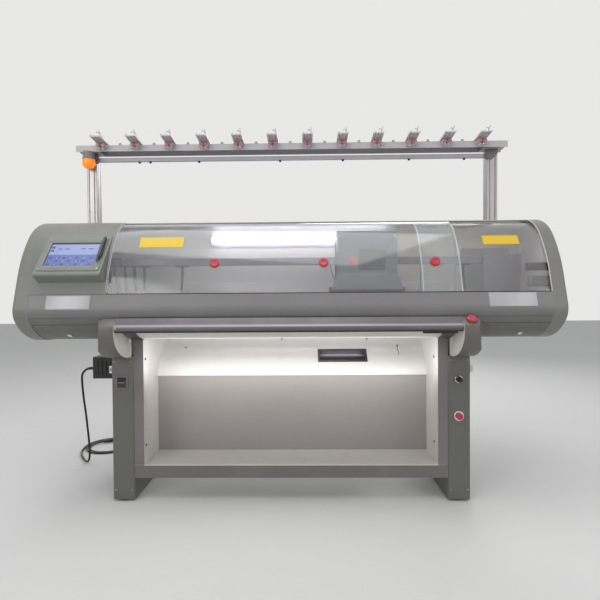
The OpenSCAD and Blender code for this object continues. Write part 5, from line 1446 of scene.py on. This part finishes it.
# ---------------- back and underside
rear_screws = [((x, BACK_Y, z), (0, 1, 0)) for x in (-860, -430, 0, 430, 860, 1230) for z in (852, 1362)]
rear_screws += [((x, 124, z), (0, 1, 0)) for x in (-438, 0, 438) for z in (228, 562)]
rear_screws += [((x, 42, z), (0, 1, 0)) for x in (-740, 740) for z in (205, 400, 596)]
screws("rear_screws", 6, 2.2, rear_screws, 17, "spring_steel")
low, high = (183.8, BACK_Y - 0.4, BASE_Z + 4), (186.2, BACK_Y + 0.5, 1370)
block("rear_cover_seam", low, high, 0.4, "seam_grey")
for side in (-1, 1):
    low, high = (side * POST_X - 31.5, 68.5, 897.5), (side * POST_X + 31.5, 131.5, 904)
    block("post_foot_cap", low, high, 1.6, "black_plastic")
box_grips = [rounded("box_grip", (x - 9, 122, 380), (x + 9, 128, 420), 3, 3) for x in (-420, 420)]
fit(merge("control_box_grips", box_grips), "black_plastic")

# ---------------- stage and light
FLOOR_HALF = 14.0
LAMPS = {  # place, aim, size in metres and power in watts
    "overhead_panel": ((-0.6, -1.2, 4.6), (0.0, 0.0, 1.0), (4.5, 3.0), 92),
    "front_left_panel": ((-3.2, -4.2, 2.6), (0.0, -0.2, 0.9), (2.6, 2.2), 48),
    "front_right_panel": ((3.6, -3.6, 2.0), (0.3, -0.2, 0.8), (2.0, 2.0), 24),
    "recess_fill": ((0.0, -0.29, 0.70), (0.0, 0.02, 0.745), (1.44, 0.15), 2.9),
    "rear_panel": ((1.5, 3.8, 3.4), (0.0, 0.0, 1.2), (3.0, 1.6), 60),
}


def add_stage():
    mesh = bpy.data.meshes.new("floor")
    corners = [(x * FLOOR_HALF, y * FLOOR_HALF, 0) for x, y in ((-1, -1), (1, -1), (1, 1), (-1, 1))]
    mesh.from_pydata(corners, [], [(0, 1, 2, 3)])
    floor = show("floor", mesh)
    material, s, shader, _ = start_material("floor_paper")
    grain = use(s, "coat_grain", grain=60.0, patch=0.7, depth=0.01)
    s.put(shader.inputs["Base Color"], s.tinted(paint(226, 226, 224), grain["Shade"]))
    shader.inputs["Roughness"].default_value = 0.8
    coated(floor, material)


def add_world():
    """Soft light from all sides, behind a plain wall colour where it is seen."""
    world = bpy.data.worlds.new("studio")
    scene.world = world
    world.use_nodes = True
    world.node_tree.nodes.clear()
    s = Sheet(world.node_tree)
    path = s.add("ShaderNodeLightPath").outputs
    seen = s.sum("MAXIMUM", path["Is Camera Ray"], path["Is Transmission Ray"])
    seen = s.sum("MAXIMUM", seen, path["Is Glossy Ray"])
    light = s.add("ShaderNodeBackground", {"Color": (0.96, 0.98, 1.0, 1.0), "Strength": 0.42}).outputs[0]
    wall = s.add("ShaderNodeBackground", {"Color": paint(232, 232, 231), "Strength": 1.0}).outputs[0]
    s.add("ShaderNodeOutputWorld", {"Surface": s.mixed(seen, light, wall)})


def add_lamp(name, place, aim, size, power):
    data = bpy.data.lights.new(name, "AREA")
    data.shape = "RECTANGLE"
    data.size, data.size_y = size
    data.energy = power
    lamp = bpy.data.objects.new(name, data)
    lamp.location = place
    lamp.rotation_euler = (Vector(aim) - Vector(place)).to_track_quat("-Z", "Y").to_euler()
    lamp.visible_camera = False
    scene.collection.objects.link(lamp)


add_stage()
add_world()
for name, lamp in LAMPS.items():
    add_lamp(name, *lamp)
